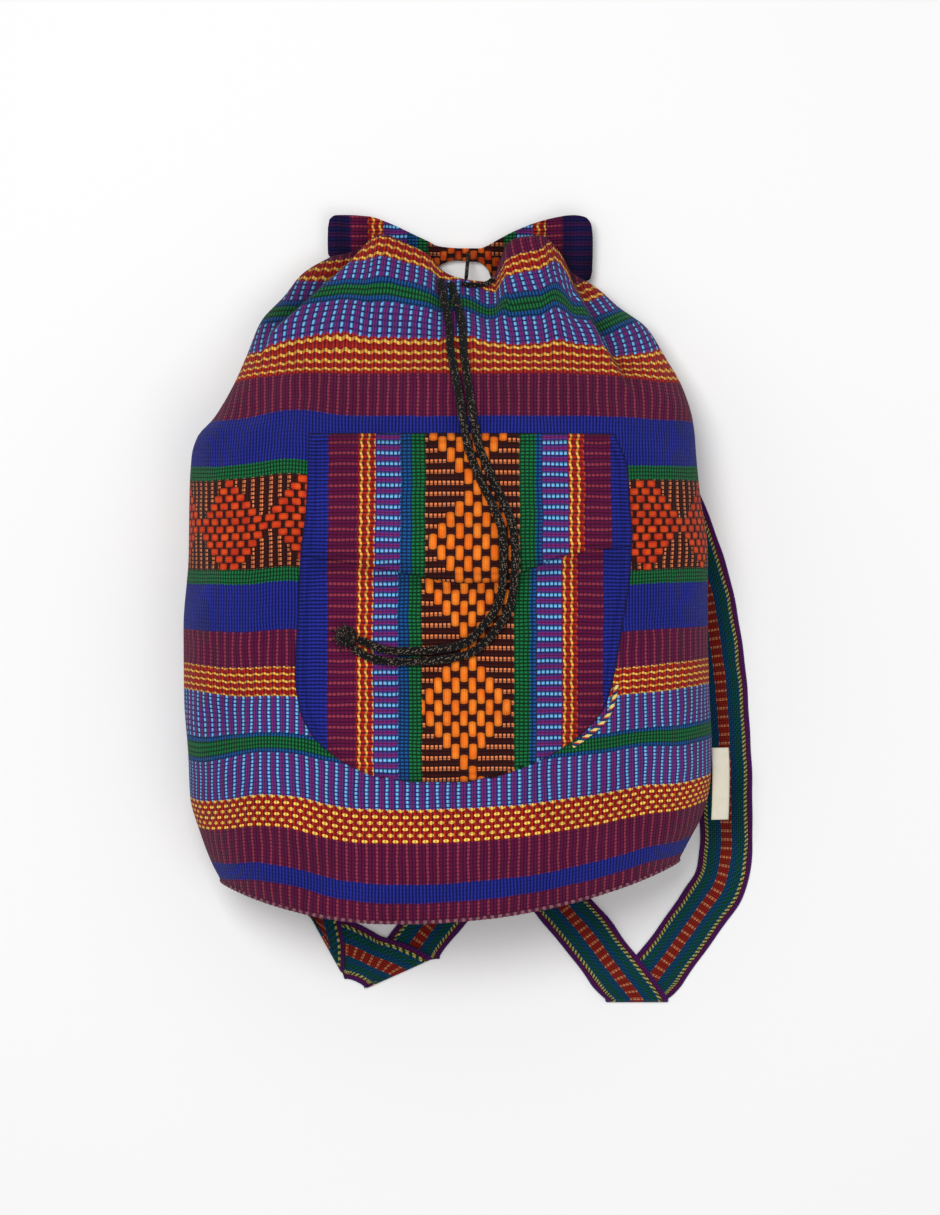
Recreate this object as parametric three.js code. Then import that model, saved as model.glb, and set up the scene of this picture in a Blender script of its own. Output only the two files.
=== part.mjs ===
// A hand-woven drawstring backpack of striped cotton cloth, lying on its back, drawn shut and filled out.
// Millimetres. +X is to the right as one looks down on the front, +Y runs from the base to the mouth,
// and +Z is up. The origin is on the floor, under the middle of the flat part of the back.

import * as THREE from 'three';

// Driving dimensions of the body
const bodyLength = 400; // lowest point of the base seam to the lowest point of the mouth's front rim
const bodyHalf = 165; // half the width at the belly
const bodyDepth = 146; // height of the filled belly over the floor
const clothWall = 2; // the heavy woven cloth
const clearance = 0.35; // between pieces that touch
const baseRiseLeft = 22; // how far the base seam climbs from its lowest point to the left corner
const baseRiseRight = 35; // and to the right corner
const baseLowX = -37; // the lowest point of the base seam
const mouthRise = 30; // how far the front rim stands up on each side of the drawn middle
const pleatDepth = 9; // step from the front panel down to the side cloth at the neck
const baseBulge = 4; // how far the base panel is pushed out by the filling
const baseInset = 1.5; // how far the base panel lies inside the seam

// Straps
const strapWidth = 34;
const strapThickness = 2;

// Mouth flap
const flapReach = 50; // from the back rim to the free edge, at the ears
const flapLift = 6; // how far the free edge curls up
const flapWall = 2;

// Pocket
const pocketLength = 212;
const pocketHalf = 99;
const pocketCentreX = 12;
const pocketTopY = 100; // the top seam
const pocketWall = 1.6;
const pocketPuff = 9; // room between the pouch and the body, in the middle of its mouth
const pocketOverlap = 9; // how far the upper flap hangs over the mouth of the pouch
const edgingWidth = 4;

// Drawstring, label and tie
const cordDiameter = 5.5;
const tieDiameter = 2.4;
const gatherDiameter = 3.2; // the drawn cord where it shows along the rim
const knotDiameter = 13;
const knotHeight = 10;
const labelLength = 45;
const labelWidth = 11;
const labelThickness = 1.2;
const labelTopY = -94; // upper end of the label
const labelHeight = 62; // the side seam's height over the floor

// Where the straps pass beneath the neck and the base, the back is lifted by this much
const strapTunnel = strapThickness + clearance;

// Section of the body
const roundness = 2.3; // exponent of the superellipse
const beltShare = 0.42; // the widest place, as a share of the depth
const backSag = 1.2; // how far the lower half would sink below the floor if it were not flattened

// Rows of the body from the base seam (along 0) to the rim (along 1). left, right and depth are shares
// of bodyHalf, bodyHalf and bodyDepth, and lift is a share of strapTunnel.
const bodyRows = [
  { along: 0.0, left: 0.856, right: 0.879, depth: 0.8, lift: 1 },
  { along: 0.03, left: 0.894, right: 0.913, depth: 0.84, lift: 1 },
  { along: 0.08, left: 0.936, right: 0.968, depth: 0.89, lift: 1 },
  { along: 0.14, left: 0.972, right: 0.996, depth: 0.94, lift: 0.9 },
  { along: 0.22, left: 0.979, right: 1.002, depth: 0.98, lift: 0 },
  { along: 0.32, left: 0.994, right: 0.992, depth: 1.0, lift: 0 },
  { along: 0.44, left: 0.996, right: 0.987, depth: 1.0, lift: 0 },
  { along: 0.56, left: 0.977, right: 0.987, depth: 0.985, lift: 0 },
  { along: 0.66, left: 0.975, right: 0.958, depth: 0.94, lift: 0 },
  { along: 0.72, left: 0.968, right: 0.945, depth: 0.88, lift: 0.8 },
  { along: 0.75, left: 0.947, right: 0.941, depth: 0.84, lift: 1 },
  { along: 0.78, left: 0.886, right: 0.932, depth: 0.79, lift: 1 },
  { along: 0.83, left: 0.818, right: 0.896, depth: 0.68, lift: 1 },
  { along: 0.88, left: 0.765, right: 0.83, depth: 0.56, lift: 1 },
  { along: 0.92, left: 0.716, right: 0.765, depth: 0.46, lift: 1 },
  { along: 0.95, left: 0.625, right: 0.655, depth: 0.37, lift: 1 },
  { along: 0.975, left: 0.56, right: 0.58, depth: 0.3, lift: 1 },
  { along: 1.0, left: 0.447, right: 0.477, depth: 0.23, lift: 1 },
];

// The front rim, from the left side of the mouth to the right: across as a share of bodyHalf,
// rise as a share of mouthRise over the drawn middle.
const rimRows = [
  { across: -0.45, rise: 0.5 },
  { across: -0.39, rise: 0.6 },
  { across: -0.32, rise: 0.76 },
  { across: -0.254, rise: 0.99 },
  { across: -0.143, rise: 0.76 },
  { across: -0.062, rise: 0.51 },
  { across: -0.028, rise: 0.27 },
  { across: 0.022, rise: 0.11 },
  { across: 0.087, rise: 0.03 },
  { across: 0.141, rise: 0.0 },
  { across: 0.183, rise: 0.17 },
  { across: 0.204, rise: 0.46 },
  { across: 0.23, rise: 0.8 },
  { across: 0.279, rise: 0.93 },
  { across: 0.359, rise: 0.97 },
  { across: 0.436, rise: 0.55 },
  { across: 0.48, rise: 0.05 },
];

// Where each neck pleat starts at the rim, how fast it runs out to the side, and where it fades out
const pleats = {
  left: { rimShare: 0.367, spread: 3.11, rimAlong: 1.03, fadeFrom: 0.9, fadeTo: 0.96 },
  right: { rimShare: 0.485, spread: 1.1, rimAlong: 1.014, fadeFrom: 0.78, fadeTo: 0.9 },
};
const pleatLimit = 0.9; // nearest to the side edge, as a share of the half width, that a pleat comes
const pleatLip = 2.5; // width of the step at a pleat
const pleatDecay = 20; // distance over which the side cloth comes back up

// Soft folds of the front, each a valley along a line: from and to along the body, with fromX and toX as
// shares of bodyHalf, depth as a share of foldDepth and width as a share of foldWidth
const foldDepth = 6;
const foldWidth = 12;
const folds = [
  { from: 1.02, fromX: 0.13, to: 0.87, toX: 0.2, depth: 0.8, width: 1.1 },
  { from: 1.02, fromX: 0.08, to: 0.88, toX: -0.06, depth: 0.6, width: 0.9 },
  { from: 1.02, fromX: 0.02, to: 0.9, toX: -0.3, depth: 0.5, width: 0.8 },
  { from: 1.02, fromX: 0.18, to: 0.88, toX: 0.42, depth: 0.5, width: 0.8 },
  { from: 0.8, fromX: -0.62, to: 0.72, toX: -0.93, depth: 0.7, width: 1.6 },
  { from: 0.37, fromX: -0.79, to: 0.2, toX: -0.84, depth: 0.8, width: 1.5 },
  { from: 0.78, fromX: 0.86, to: 0.66, toX: 0.8, depth: 0.5, width: 1.5 },
  { from: 0.14, fromX: 0.72, to: 0.05, toX: 0.45, depth: 0.5, width: 1.5 },
  { from: 0.1, fromX: -0.72, to: 0.04, toX: -0.4, depth: 0.4, width: 1.4 },
];

// Rows of the pocket from its top seam (down 0) to its bottom (down 1), as shares of pocketHalf
const pocketRows = [
  { down: 0.0, left: 0.976, right: 0.921 },
  { down: 0.111, left: 0.976, right: 1.0 },
  { down: 0.254, left: 0.985, right: 1.012 },
  { down: 0.368, left: 1.006, right: 1.024 },
  { down: 0.482, left: 1.024, right: 1.012 },
  { down: 0.595, left: 1.037, right: 0.963 },
  { down: 0.709, left: 1.049, right: 0.915 },
  { down: 0.795, left: 1.024, right: 0.854 },
  { down: 0.866, left: 0.951, right: 0.713 },
  { down: 0.923, left: 0.823, right: 0.524 },
  { down: 0.966, left: 0.659, right: 0.268 },
  { down: 1.0, left: 0.36, right: 0.02 },
];

// The lower edge of the pocket's upper flap: down as a share of pocketLength
const pocketBreak = [
  { across: -1.05, down: 0.35 },
  { across: -0.7, down: 0.376 },
  { across: -0.4, down: 0.402 },
  { across: 0.0, down: 0.433 },
  { across: 0.2, down: 0.43 },
  { across: 0.38, down: 0.393 },
  { across: 0.6, down: 0.353 },
  { across: 1.05, down: 0.322 },
];

// The mouth flap across its width: lower and upper edge over the lowest point of the front rim,
// as shares of flapReach. The middle of the lower edge arches over the gap at the mouth.
const flapRows = [
  { across: -1.0, lower: 0.42, upper: 0.76 },
  { across: -0.985, lower: 0.4, upper: 0.85 },
  { across: -0.86, lower: 0.38, upper: 0.87 },
  { across: -0.7, lower: 0.2, upper: 0.86 },
  { across: -0.56, lower: -0.12, upper: 0.79 },
  { across: -0.4, lower: -0.14, upper: 0.67 },
  { across: -0.235, lower: -0.12, upper: 0.54 },
  { across: -0.19, lower: 0.17, upper: 0.5 },
  { across: -0.13, lower: 0.26, upper: 0.475 },
  { across: -0.04, lower: 0.3, upper: 0.46 },
  { across: 0.14, lower: 0.28, upper: 0.455 },
  { across: 0.22, lower: 0.17, upper: 0.5 },
  { across: 0.27, lower: -0.12, upper: 0.55 },
  { across: 0.42, lower: -0.14, upper: 0.68 },
  { across: 0.56, lower: -0.1, upper: 0.77 },
  { across: 0.7, lower: 0.0, upper: 0.83 },
  { across: 0.86, lower: 0.12, upper: 0.87 },
  { across: 0.985, lower: 0.12, upper: 0.8 },
  { across: 1.0, lower: 0.14, upper: 0.62 },
];
const flapHalf = 84; // half the width of the mouth flap
const flapCentreX = 8;

// Routes of the straps, from the neck to the base: the centre line, the direction across the webbing in
// plan (degrees), its tilt out of the floor, its stretch where it is cut slantwise by a fold, and the roll
// of a fold. The height is over the floor, in strapThickness.
const strapRightRoute = [
  { x: 16, y: 183, high: 0.5, across: 45, tilt: 0, stretch: 1, roll: 0 },
  { x: 42, y: 160, high: 0.5, across: 45, tilt: 0, stretch: 1, roll: 0 },
  { x: 86, y: 131, high: 0.5, across: 44, tilt: 0, stretch: 1, roll: 0 },
  { x: 121, y: 99, high: 0.5, across: 42, tilt: 0, stretch: 1, roll: 0 },
  { x: 144, y: 64, high: 0.5, across: 30, tilt: 0, stretch: 1, roll: 0 },
  { x: 158, y: 28, high: 0.5, across: 22, tilt: 0, stretch: 1, roll: 0 },
  { x: 168, y: -8, high: 0.5, across: 12, tilt: 0, stretch: 1, roll: 0 },
  { x: 174, y: -52, high: 0.5, across: 6, tilt: 0, stretch: 1, roll: 0 },
  { x: 177, y: -94, high: 0.5, across: 3, tilt: 0, stretch: 1, roll: 0 },
  { x: 178, y: -135, high: 0.5, across: 0, tilt: 0, stretch: 1, roll: 0 },
  { x: 178, y: -163, high: 0.5, across: -4, tilt: 0, stretch: 1, roll: 0 },
  { x: 174, y: -183, high: 0.5, across: -24, tilt: 0, stretch: 1, roll: 0 },
  { x: 165, y: -197, high: 0.5, across: -34, tilt: 0, stretch: 1, roll: 0 },
  { x: 151, y: -217, high: 0.5, across: -34, tilt: 0, stretch: 1, roll: 0 },
  { x: 137, y: -236, high: 0.5, across: -34, tilt: 0, stretch: 1, roll: 0 },
  { x: 121, y: -256.5, high: 0.5, across: 0, tilt: 0, stretch: 1.18, roll: 0 },
  { x: 121, y: -257.7, high: 1.09, across: 0, tilt: 0, stretch: 1.18, roll: 90 },
  { x: 121, y: -256.5, high: 1.68, across: 0, tilt: 0, stretch: 1.18, roll: 180 },
  { x: 104, y: -235, high: 1.68, across: 36, tilt: 0, stretch: 1, roll: 180 },
  { x: 90, y: -216, high: 1.2, across: 36, tilt: 0, stretch: 1, roll: 180 },
  { x: 76, y: -200, high: 0.5, across: 37, tilt: 0, stretch: 1, roll: 180 },
  { x: 65, y: -186, high: 0.5, across: 37, tilt: 0, stretch: 1, roll: 180 },
];
const strapLeftRoute = [
  { x: -18, y: 183, high: 0.5, across: -45, tilt: 0, stretch: 1, roll: 0 },
  { x: -44, y: 160, high: 0.5, across: -45, tilt: 0, stretch: 1, roll: 0 },
  { x: -86, y: 128, high: 0.5, across: -44, tilt: 0, stretch: 1, roll: 0 },
  { x: -120, y: 92, high: 0.5, across: -36, tilt: 0, stretch: 1, roll: 0 },
  { x: -134, y: 48, high: 0.5, across: -17, tilt: 0, stretch: 1, roll: 0 },
  { x: -139, y: 0, high: 0.5, across: -6, tilt: 0, stretch: 1, roll: 0 },
  { x: -140, y: -50, high: 0.5, across: 3, tilt: 0, stretch: 1, roll: 0 },
  { x: -134, y: -100, high: 0.5, across: 13, tilt: 0, stretch: 1, roll: 0 },
  { x: -123, y: -141, high: 0.5, across: 30, tilt: 0, stretch: 1, roll: 0 },
  { x: -95, y: -178, high: 0.5, across: 30, tilt: 0, stretch: 1, roll: 0 },
  { x: -77.5, y: -206, high: 0.5, across: 5, tilt: 0, stretch: 1, roll: 0 },
  { x: -73.5, y: -215, high: 5, across: 10, tilt: 32, stretch: 1, roll: 0 },
  { x: -69, y: -226, high: 8.2, across: 35, tilt: 68, stretch: 1, roll: 0 },
  { x: -65, y: -231, high: 8.2, across: 70, tilt: 68, stretch: 1, roll: 0 },
  { x: -60, y: -229, high: 5, across: 74, tilt: 32, stretch: 1, roll: 0 },
  { x: -51, y: -227, high: 1.68, across: 68, tilt: 0, stretch: 1, roll: 0 },
  { x: -44, y: -230, high: 1.68, across: 62, tilt: 0, stretch: 1, roll: 0 },
  { x: -32, y: -233.5, high: 1.68, across: 18, tilt: 0, stretch: 1.5, roll: 0 },
  { x: -31.6, y: -234.7, high: 1.09, across: 18, tilt: 0, stretch: 1.5, roll: 90 },
  { x: -32, y: -233.5, high: 0.5, across: 18, tilt: 0, stretch: 1.5, roll: 180 },
  { x: -18, y: -216, high: 0.5, across: -38, tilt: 0, stretch: 1, roll: 180 },
  { x: -4, y: -201, high: 0.5, across: -40, tilt: 0, stretch: 1, roll: 180 },
  { x: 6, y: -188, high: 0.5, across: -40, tilt: 0, stretch: 1, roll: 180 },
];
// Routes of the drawstring's strands, from the mouth to the knot, and of the stretch along the rim
const strandARoute = [
  [-4, 199, 43.2], [-2.5, 190, 52.2], [1, 172, 68], [2.5, 152, 85.9], [5.5, 136, 99.9], [8, 122, 112.3],
  [10, 108, 123.8], [11.5, 101, 127.5], [13, 92, 131.8], [17, 80, 136.9], [22, 68, 141.2], [28, 56, 145.8],
  [33.5, 40, 155.8], [34.5, 22, 161.4], [34, 9, 160], [33, 1, 158.6], [30, -7, 158.6], [22, -18, 159.2],
  [12, -27.5, 159.5], [-4, -31.5, 159.2], [-20, -32.5, 158.4], [-36, -32, 156.7], [-45, -29, 155.5],
  [-53, -25.6, 154],
];
const strandBRoute = [
  [2.5, 197, 41.5], [5, 188, 50.1], [9, 172, 66.7], [10.5, 152, 86.2], [12.5, 136, 99.9], [14.5, 122, 112.4],
  [16.5, 108, 123.9], [18, 101, 127.3], [19.5, 93, 131.1], [23.5, 82, 136], [28.5, 70, 140.3], [35, 57, 144.9],
  [40.5, 40, 154.4], [41.5, 22, 161.1], [41, 10, 160.8], [40, 1, 159.5], [37, -9, 159.3], [28.5, -22, 158.9],
  [15, -33.5, 159.2], [-3, -37.8, 159.1], [-20, -38.8, 158.4], [-37, -38.5, 156.3], [-48, -35.5, 154.8],
  [-56.4, -30.6, 153.3],
];
const gatherRoute = [
  [9, 197.6, 36.8], [16, 197.2, 35.6], [24, 197.6, 37], [30, 201, 38],
];
const tieRoute = [[13.5, 219.5, 9.8], [12.6, 210, 19.5], [12, 202, 30.5]];
const knotCentre = [-60, -23.6, 155.5];

const strapSteps = 3; // sections between two rows of a long, even stretch
const strapEvenStretch = 25; // a stretch longer than this is drawn out in steps

// Reads a table at a place between its rows, on a smooth curve through them
function tableAt(rows, key, at, column) {
  let k = 1;
  while (k < rows.length - 1 && rows[k][key] < at) k += 1;
  const before = rows[Math.max(0, k - 2)];
  const low = rows[k - 1];
  const high = rows[k];
  const after = rows[Math.min(rows.length - 1, k + 1)];
  const span = high[key] - low[key];
  const share = THREE.MathUtils.clamp((at - low[key]) / span, 0, 1);
  const slope = (high[column] - low[column]) / span;
  const slopeBefore = low === before ? slope : (low[column] - before[column]) / (low[key] - before[key]);
  const slopeAfter = high === after ? slope : (after[column] - high[column]) / (after[key] - high[key]);
  const m0 = slopeBefore * slope > 0 ? (2 * slopeBefore * slope) / (slopeBefore + slope) : 0;
  const m1 = slopeAfter * slope > 0 ? (2 * slopeAfter * slope) / (slopeAfter + slope) : 0;
  const s2 = share * share;
  const s3 = s2 * share;
  return (
    low[column] * (2 * s3 - 3 * s2 + 1) +
    span * m0 * (s3 - 2 * s2 + share) +
    high[column] * (3 * s2 - 2 * s3) +
    span * m1 * (s3 - s2)
  );
}

const smooth = (at, from, to) => THREE.MathUtils.smoothstep(at, from, to);

// Sizes of the body's section at a place along its length
function sectionAt(along) {
  const back = strapTunnel * tableAt(bodyRows, 'along', along, 'lift');
  const top = bodyDepth * tableAt(bodyRows, 'along', along, 'depth');
  return {
    left: bodyHalf * tableAt(bodyRows, 'along', along, 'left'),
    right: bodyHalf * tableAt(bodyRows, 'along', along, 'right'),
    top,
    back,
    belt: back + (top - back) * beltShare,
  };
}

// How far the base seam lies above its lowest point
function seamRise(x) {
  const row = sectionAt(0);
  if (x < baseLowX) return baseRiseLeft * Math.pow((baseLowX - x) / (baseLowX + row.left), 1.9);
  return baseRiseRight * Math.pow((x - baseLowX) / (row.right - baseLowX), 2.2);
}

// The place on +Y of a point of the body: level rows in the middle, bowed to the seam and to the rim
function bodyY(along, x, front) {
  const rim = mouthRise * tableAt(rimRows, 'across', x / bodyHalf, 'rise') * front;
  const low = Math.min(1, Math.pow(1 - along, 3));
  const high = Math.pow(smooth(along, 0.84, 1), 1.5);
  return (along - 0.5) * bodyLength + seamRise(x) * low + rim * high;
}

// The share along the body at which its front has a given place
function alongAt(x, y) {
  let low = 0;
  let high = 1;
  for (let k = 0; k < 30; k += 1) {
    const middle = (low + high) / 2;
    if (bodyY(middle, x, 1) < y) low = middle;
    else high = middle;
  }
  return (low + high) / 2;
}

// Where a pleat runs, as a share of the half width on its side
function pleatShare(side, along) {
  const pleat = pleats[side];
  const x = pleat.rimShare + (pleat.rimAlong - along) * pleat.spread;
  return Math.min(pleatLimit, (x * bodyHalf) / sectionAt(along)[side]);
}

// How far the side cloth lies below the front panel
function pleatDrop(x, along) {
  const side = x < 0 ? 'left' : 'right';
  const pleat = pleats[side];
  const beyond = Math.abs(x) - pleatShare(side, along) * sectionAt(along)[side];
  if (beyond <= 0) return 0;
  const depth = pleatDepth * smooth(along, pleat.fadeFrom, pleat.fadeTo);
  return depth * Math.min(1, beyond / pleatLip) * Math.exp(-Math.max(0, beyond - pleatLip) / pleatDecay);
}

// How far the folds take the front down at a place
function foldDrop(x, along) {
  return folds.reduce((drop, fold) => {
    const runX = (fold.toX - fold.fromX) * bodyHalf;
    const runY = (fold.to - fold.from) * bodyLength;
    const run = Math.hypot(runX, runY);
    const atX = x - fold.fromX * bodyHalf;
    const atY = (along - fold.from) * bodyLength;
    const share = (atX * runX + atY * runY) / (run * run);
    const off = Math.abs(atX * runY - atY * runX) / run / (foldWidth * fold.width);
    const ends = smooth(share, -0.1, 0.25) * (1 - smooth(share, 0.5, 1.15));
    return drop + foldDepth * fold.depth * Math.exp(-off * off) * ends;
  }, 0);
}

// A point of the body's outer face. turn is 0 at the middle of the front, 90 and -90 at the sides
// and 180 at the middle of the back.
function bodyPoint(along, turn) {
  const row = sectionAt(along);
  const angle = THREE.MathUtils.degToRad(turn);
  const power = 2 / roundness;
  const sine = Math.sin(angle);
  const cosine = Math.cos(angle);
  const half = sine < 0 ? row.left : row.right;
  const x = Math.sign(sine) * Math.pow(Math.abs(sine), power) * half;
  const height = Math.pow(Math.abs(cosine), power);
  const front = smooth(cosine, -0.5, 0.1);
  const y = bodyY(along, x, front);
  if (cosine < 0) {
    const low = row.belt - (row.belt - row.back) * backSag * height;
    return new THREE.Vector3(x, y, Math.max(row.back, low));
  }
  const drop = pleatDrop(x, along) + foldDrop(x, along);
  return new THREE.Vector3(x, y, row.belt + (row.top - row.belt - drop) * height);
}

// The height of the body's front over the floor at a place in plan
function frontHeight(x, y) {
  const along = alongAt(x, y);
  const row = sectionAt(along);
  const share = Math.min(1, Math.abs(x) / (x < 0 ? row.left : row.right));
  const height = Math.pow(1 - Math.pow(share, roundness), 1 / roundness);
  const drop = pleatDrop(x, along) + foldDrop(x, along);
  return row.belt + (row.top - row.belt - drop) * height;
}

// The turn at which the front is a given share of the half width from the middle
function turnAt(share) {
  return THREE.MathUtils.radToDeg(Math.asin(Math.pow(Math.min(1, share), roundness / 2)));
}

// Turns of one row of the body, closer together at the pleats
function bodyTurns(along) {
  const row = sectionAt(along);
  const edges = ['left', 'right'].map((side) => {
    const share = pleatShare(side, along);
    return [turnAt(share), turnAt(share + pleatLip / row[side])];
  });
  const turns = [];
  const span = (from, to, count, crowd) => {
    for (let k = 0; k < count; k += 1) turns.push(from + (to - from) * Math.pow(k / count, crowd));
  };
  span(-90, -edges[0][1], 5, 0.8);
  turns.push(-edges[0][1]);
  span(-edges[0][0], edges[1][0], 22, 1);
  turns.push(edges[1][0]);
  span(edges[1][1], 90, 6, 1.25);
  span(90, 270, 18, 1);
  return turns;
}

const bodyStations = [
  0, 0.015, 0.04, 0.08, 0.13, 0.19, 0.26, 0.34, 0.43, 0.52, 0.6, 0.67, 0.72, 0.75, 0.78, 0.81, 0.84, 0.87, 0.9,
  0.92, 0.94, 0.96, 0.98, 1,
];

// Collects points and faces, and gives them as a geometry
class Shell {
  constructor() {
    this.points = [];
    this.faces = [];
  }

  add(point) {
    this.points.push(point);
    return this.points.length - 1;
  }

  quad(a, b, c, d) {
    this.faces.push([a, b, c], [a, c, d]);
  }

  // Joins two rows of point numbers with faces
  band(low, high, closed) {
    const last = closed ? low.length : low.length - 1;
    for (let k = 0; k < last; k += 1) {
      const next = (k + 1) % low.length;
      this.quad(low[k], low[next], high[next], high[k]);
    }
  }

  volume() {
    return this.faces.reduce((sum, [a, b, c]) => {
      const cross = new THREE.Vector3().crossVectors(this.points[b], this.points[c]);
      return sum + this.points[a].dot(cross) / 6;
    }, 0);
  }

  geometry() {
    const faces = this.volume() < 0 ? this.faces.map(([a, b, c]) => [a, c, b]) : this.faces;
    const geometry = new THREE.BufferGeometry();
    geometry.setAttribute('position', new THREE.Float32BufferAttribute(this.points.flatMap((p) => [p.x, p.y, p.z]), 3));
    geometry.setIndex(faces.flat());
    geometry.computeVertexNormals();
    return geometry;
  }
}

// A cloth tube: a grid of points whose rows close on themselves, and the same grid a wall further in
function clothTube(grid, wall) {
  const outer = new Shell();
  const rows = grid.map((row) => row.map((point) => outer.add(point)));
  for (let k = 1; k < rows.length; k += 1) outer.band(rows[k - 1], rows[k], true);
  const geometry = outer.geometry();
  const normals = geometry.getAttribute('normal');
  const shell = new Shell();
  const outside = grid.map((row) => row.map((point) => shell.add(point)));
  const towards = outwardSign(grid, normals, rows);
  const inside = grid.map((row, j) =>
    row.map((point, k) => {
      const number = rows[j][k];
      const normal = new THREE.Vector3().fromBufferAttribute(normals, number).multiplyScalar(-towards * wall);
      return shell.add(point.clone().add(normal));
    }),
  );
  for (let k = 1; k < grid.length; k += 1) {
    shell.band(outside[k - 1], outside[k], true);
    shell.band(inside[k], inside[k - 1], true);
  }
  shell.band(inside[0], outside[0], true);
  shell.band(outside[grid.length - 1], inside[grid.length - 1], true);
  return { shell, inside: inside.map((row) => row.map((number) => shell.points[number])) };
}

// Whether the grid's normals point away from its middle
function outwardSign(grid, normals, rows) {
  const row = grid[grid.length >> 1];
  const middle = row.reduce((sum, point) => sum.add(point), new THREE.Vector3()).divideScalar(row.length);
  const number = rows[grid.length >> 1][0];
  return Math.sign(new THREE.Vector3().fromBufferAttribute(normals, number).dot(row[0].clone().sub(middle)));
}

// A cloth sheet between two grids of the same size
function clothSheet(under, over) {
  const shell = new Shell();
  const low = under.map((row) => row.map((point) => shell.add(point)));
  const high = over.map((row) => row.map((point) => shell.add(point)));
  for (let k = 1; k < low.length; k += 1) {
    shell.band(low[k], low[k - 1], false);
    shell.band(high[k - 1], high[k], false);
  }
  const edge = (rows) => [
    ...rows[0],
    ...rows.slice(1).map((row) => row[row.length - 1]),
    ...rows[rows.length - 1].slice(0, -1).reverse(),
    ...rows.slice(1, -1).map((row) => row[0]).reverse(),
  ];
  shell.band(edge(low), edge(high), true);
  return shell.geometry();
}

function bodyGrid() {
  return bodyStations.map((along) => bodyTurns(along).map((turn) => bodyPoint(along, turn)));
}

const body = clothTube(bodyGrid(), clothWall);

// The base panel fills the ring of the base seam
function basePanel() {
  const ring = body.inside[0];
  const middle = new THREE.Vector3();
  ring.forEach((point) => middle.add(point));
  middle.divideScalar(ring.length);
  const sheet = (depth) =>
    [1, 0.8, 0.5, 0.2].map((size) =>
      ring.map((point) => {
        const reach = point.clone().sub(middle).setY(0);
        reach.multiplyScalar(size * (1 - (1.6 * clearance) / reach.length()));
        const x = middle.x + reach.x;
        const y = seamRise(x) - bodyLength / 2 + baseInset - baseBulge * (1 - size * size) + depth;
        return new THREE.Vector3(x, y, middle.z + reach.z);
      }),
    );
  const shell = new Shell();
  const numbers = [sheet(0), sheet(clothWall)].map((rings) => rings.map((row) => row.map((point) => shell.add(point))));
  numbers.forEach((rings, side) => {
    for (let k = 1; k < rings.length; k += 1) {
      if (side === 0) shell.band(rings[k - 1], rings[k], true);
      else shell.band(rings[k], rings[k - 1], true);
    }
    const last = rings[rings.length - 1];
    const y = -baseBulge + baseInset - bodyLength / 2 + seamRise(middle.x) + side * clothWall;
    const centre = shell.add(new THREE.Vector3(middle.x, y, middle.z));
    last.forEach((number, k) => {
      const next = last[(k + 1) % last.length];
      shell.faces.push(side === 0 ? [number, next, centre] : [next, number, centre]);
    });
  });
  shell.band(numbers[1][0], numbers[0][0], true);
  return shell.geometry();
}

// The height over the floor of a sheet that lies a given distance inside the back, near the mouth
function insideBack(x, distance) {
  const row = sectionAt(1);
  const outside = (at) => {
    const share = Math.min(0.97, Math.abs(at) / (at < 0 ? row.left : row.right));
    const height = Math.pow(1 - Math.pow(share, roundness), 1 / roundness);
    return Math.max(row.back, row.belt - (row.belt - row.back) * backSag * height);
  };
  const slope = (outside(x + 1) - outside(x - 1)) / 2;
  return outside(x) + distance * Math.sqrt(1 + slope * slope);
}

// The mouth flap is sewn inside the back rim and lies thrown back, its two ears curled up
function mouthFlap() {
  const rim = bodyLength / 2;
  const sheet = (depth) =>
    [0, 0.12, 0.25, 0.45, 0.7, 1].map((share) =>
      flapRows.map((row) => {
        const x = flapCentreX + row.across * flapHalf;
        const y = rim + flapReach * (row.lower + (row.upper - row.lower) * share);
        const out = Math.max(0, (y - rim) / flapReach);
        const z = insideBack(x, clothWall + 2 * clearance) + flapLift * out * out;
        return new THREE.Vector3(x, y, z + depth);
      }),
    );
  return clothSheet(sheet(0), sheet(flapWall));
}

// A place in plan on the pocket: across from -1 to 1, down as a share of pocketLength
function pocketPlan(across, down, bow) {
  const side = across < 0 ? 'left' : 'right';
  const x = pocketCentreX + across * pocketHalf * tableAt(pocketRows, 'down', down, side);
  const middle = tableAt(pocketBreak, 'across', 0, 'down');
  const edge = tableAt(pocketBreak, 'across', across, 'down') - middle;
  return { x, y: pocketTopY - pocketLength * (down + bow * edge) };
}

// Room under the pouch: most in the middle of its mouth, none at its sewn edge
function pouchRoom(across, share) {
  return pocketPuff * Math.pow(Math.max(0, 1 - across * across), 0.8) * Math.sqrt(Math.max(0, 1 - share * share));
}

const pocketColumns = 16;
const columnShares = Array.from({ length: pocketColumns + 1 }, (_, k) => Math.sin((k / pocketColumns - 0.5) * Math.PI));

function pocketPouch() {
  const mouth = tableAt(pocketBreak, 'across', 0, 'down') - pocketOverlap / pocketLength;
  const steps = [0, 0.12, 0.26, 0.4, 0.54, 0.68, 0.8, 0.89, 0.96, 1];
  const sheet = (depth) =>
    steps.map((share) =>
      columnShares.map((across) => {
        const { x, y } = pocketPlan(across, mouth + (1 - mouth) * share, Math.pow(1 - share, 2));
        const z = frontHeight(x, y) + clearance + pouchRoom(across, share);
        return new THREE.Vector3(x, y, z + depth);
      }),
    );
  return clothSheet(sheet(0), sheet(pocketWall));
}

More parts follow.
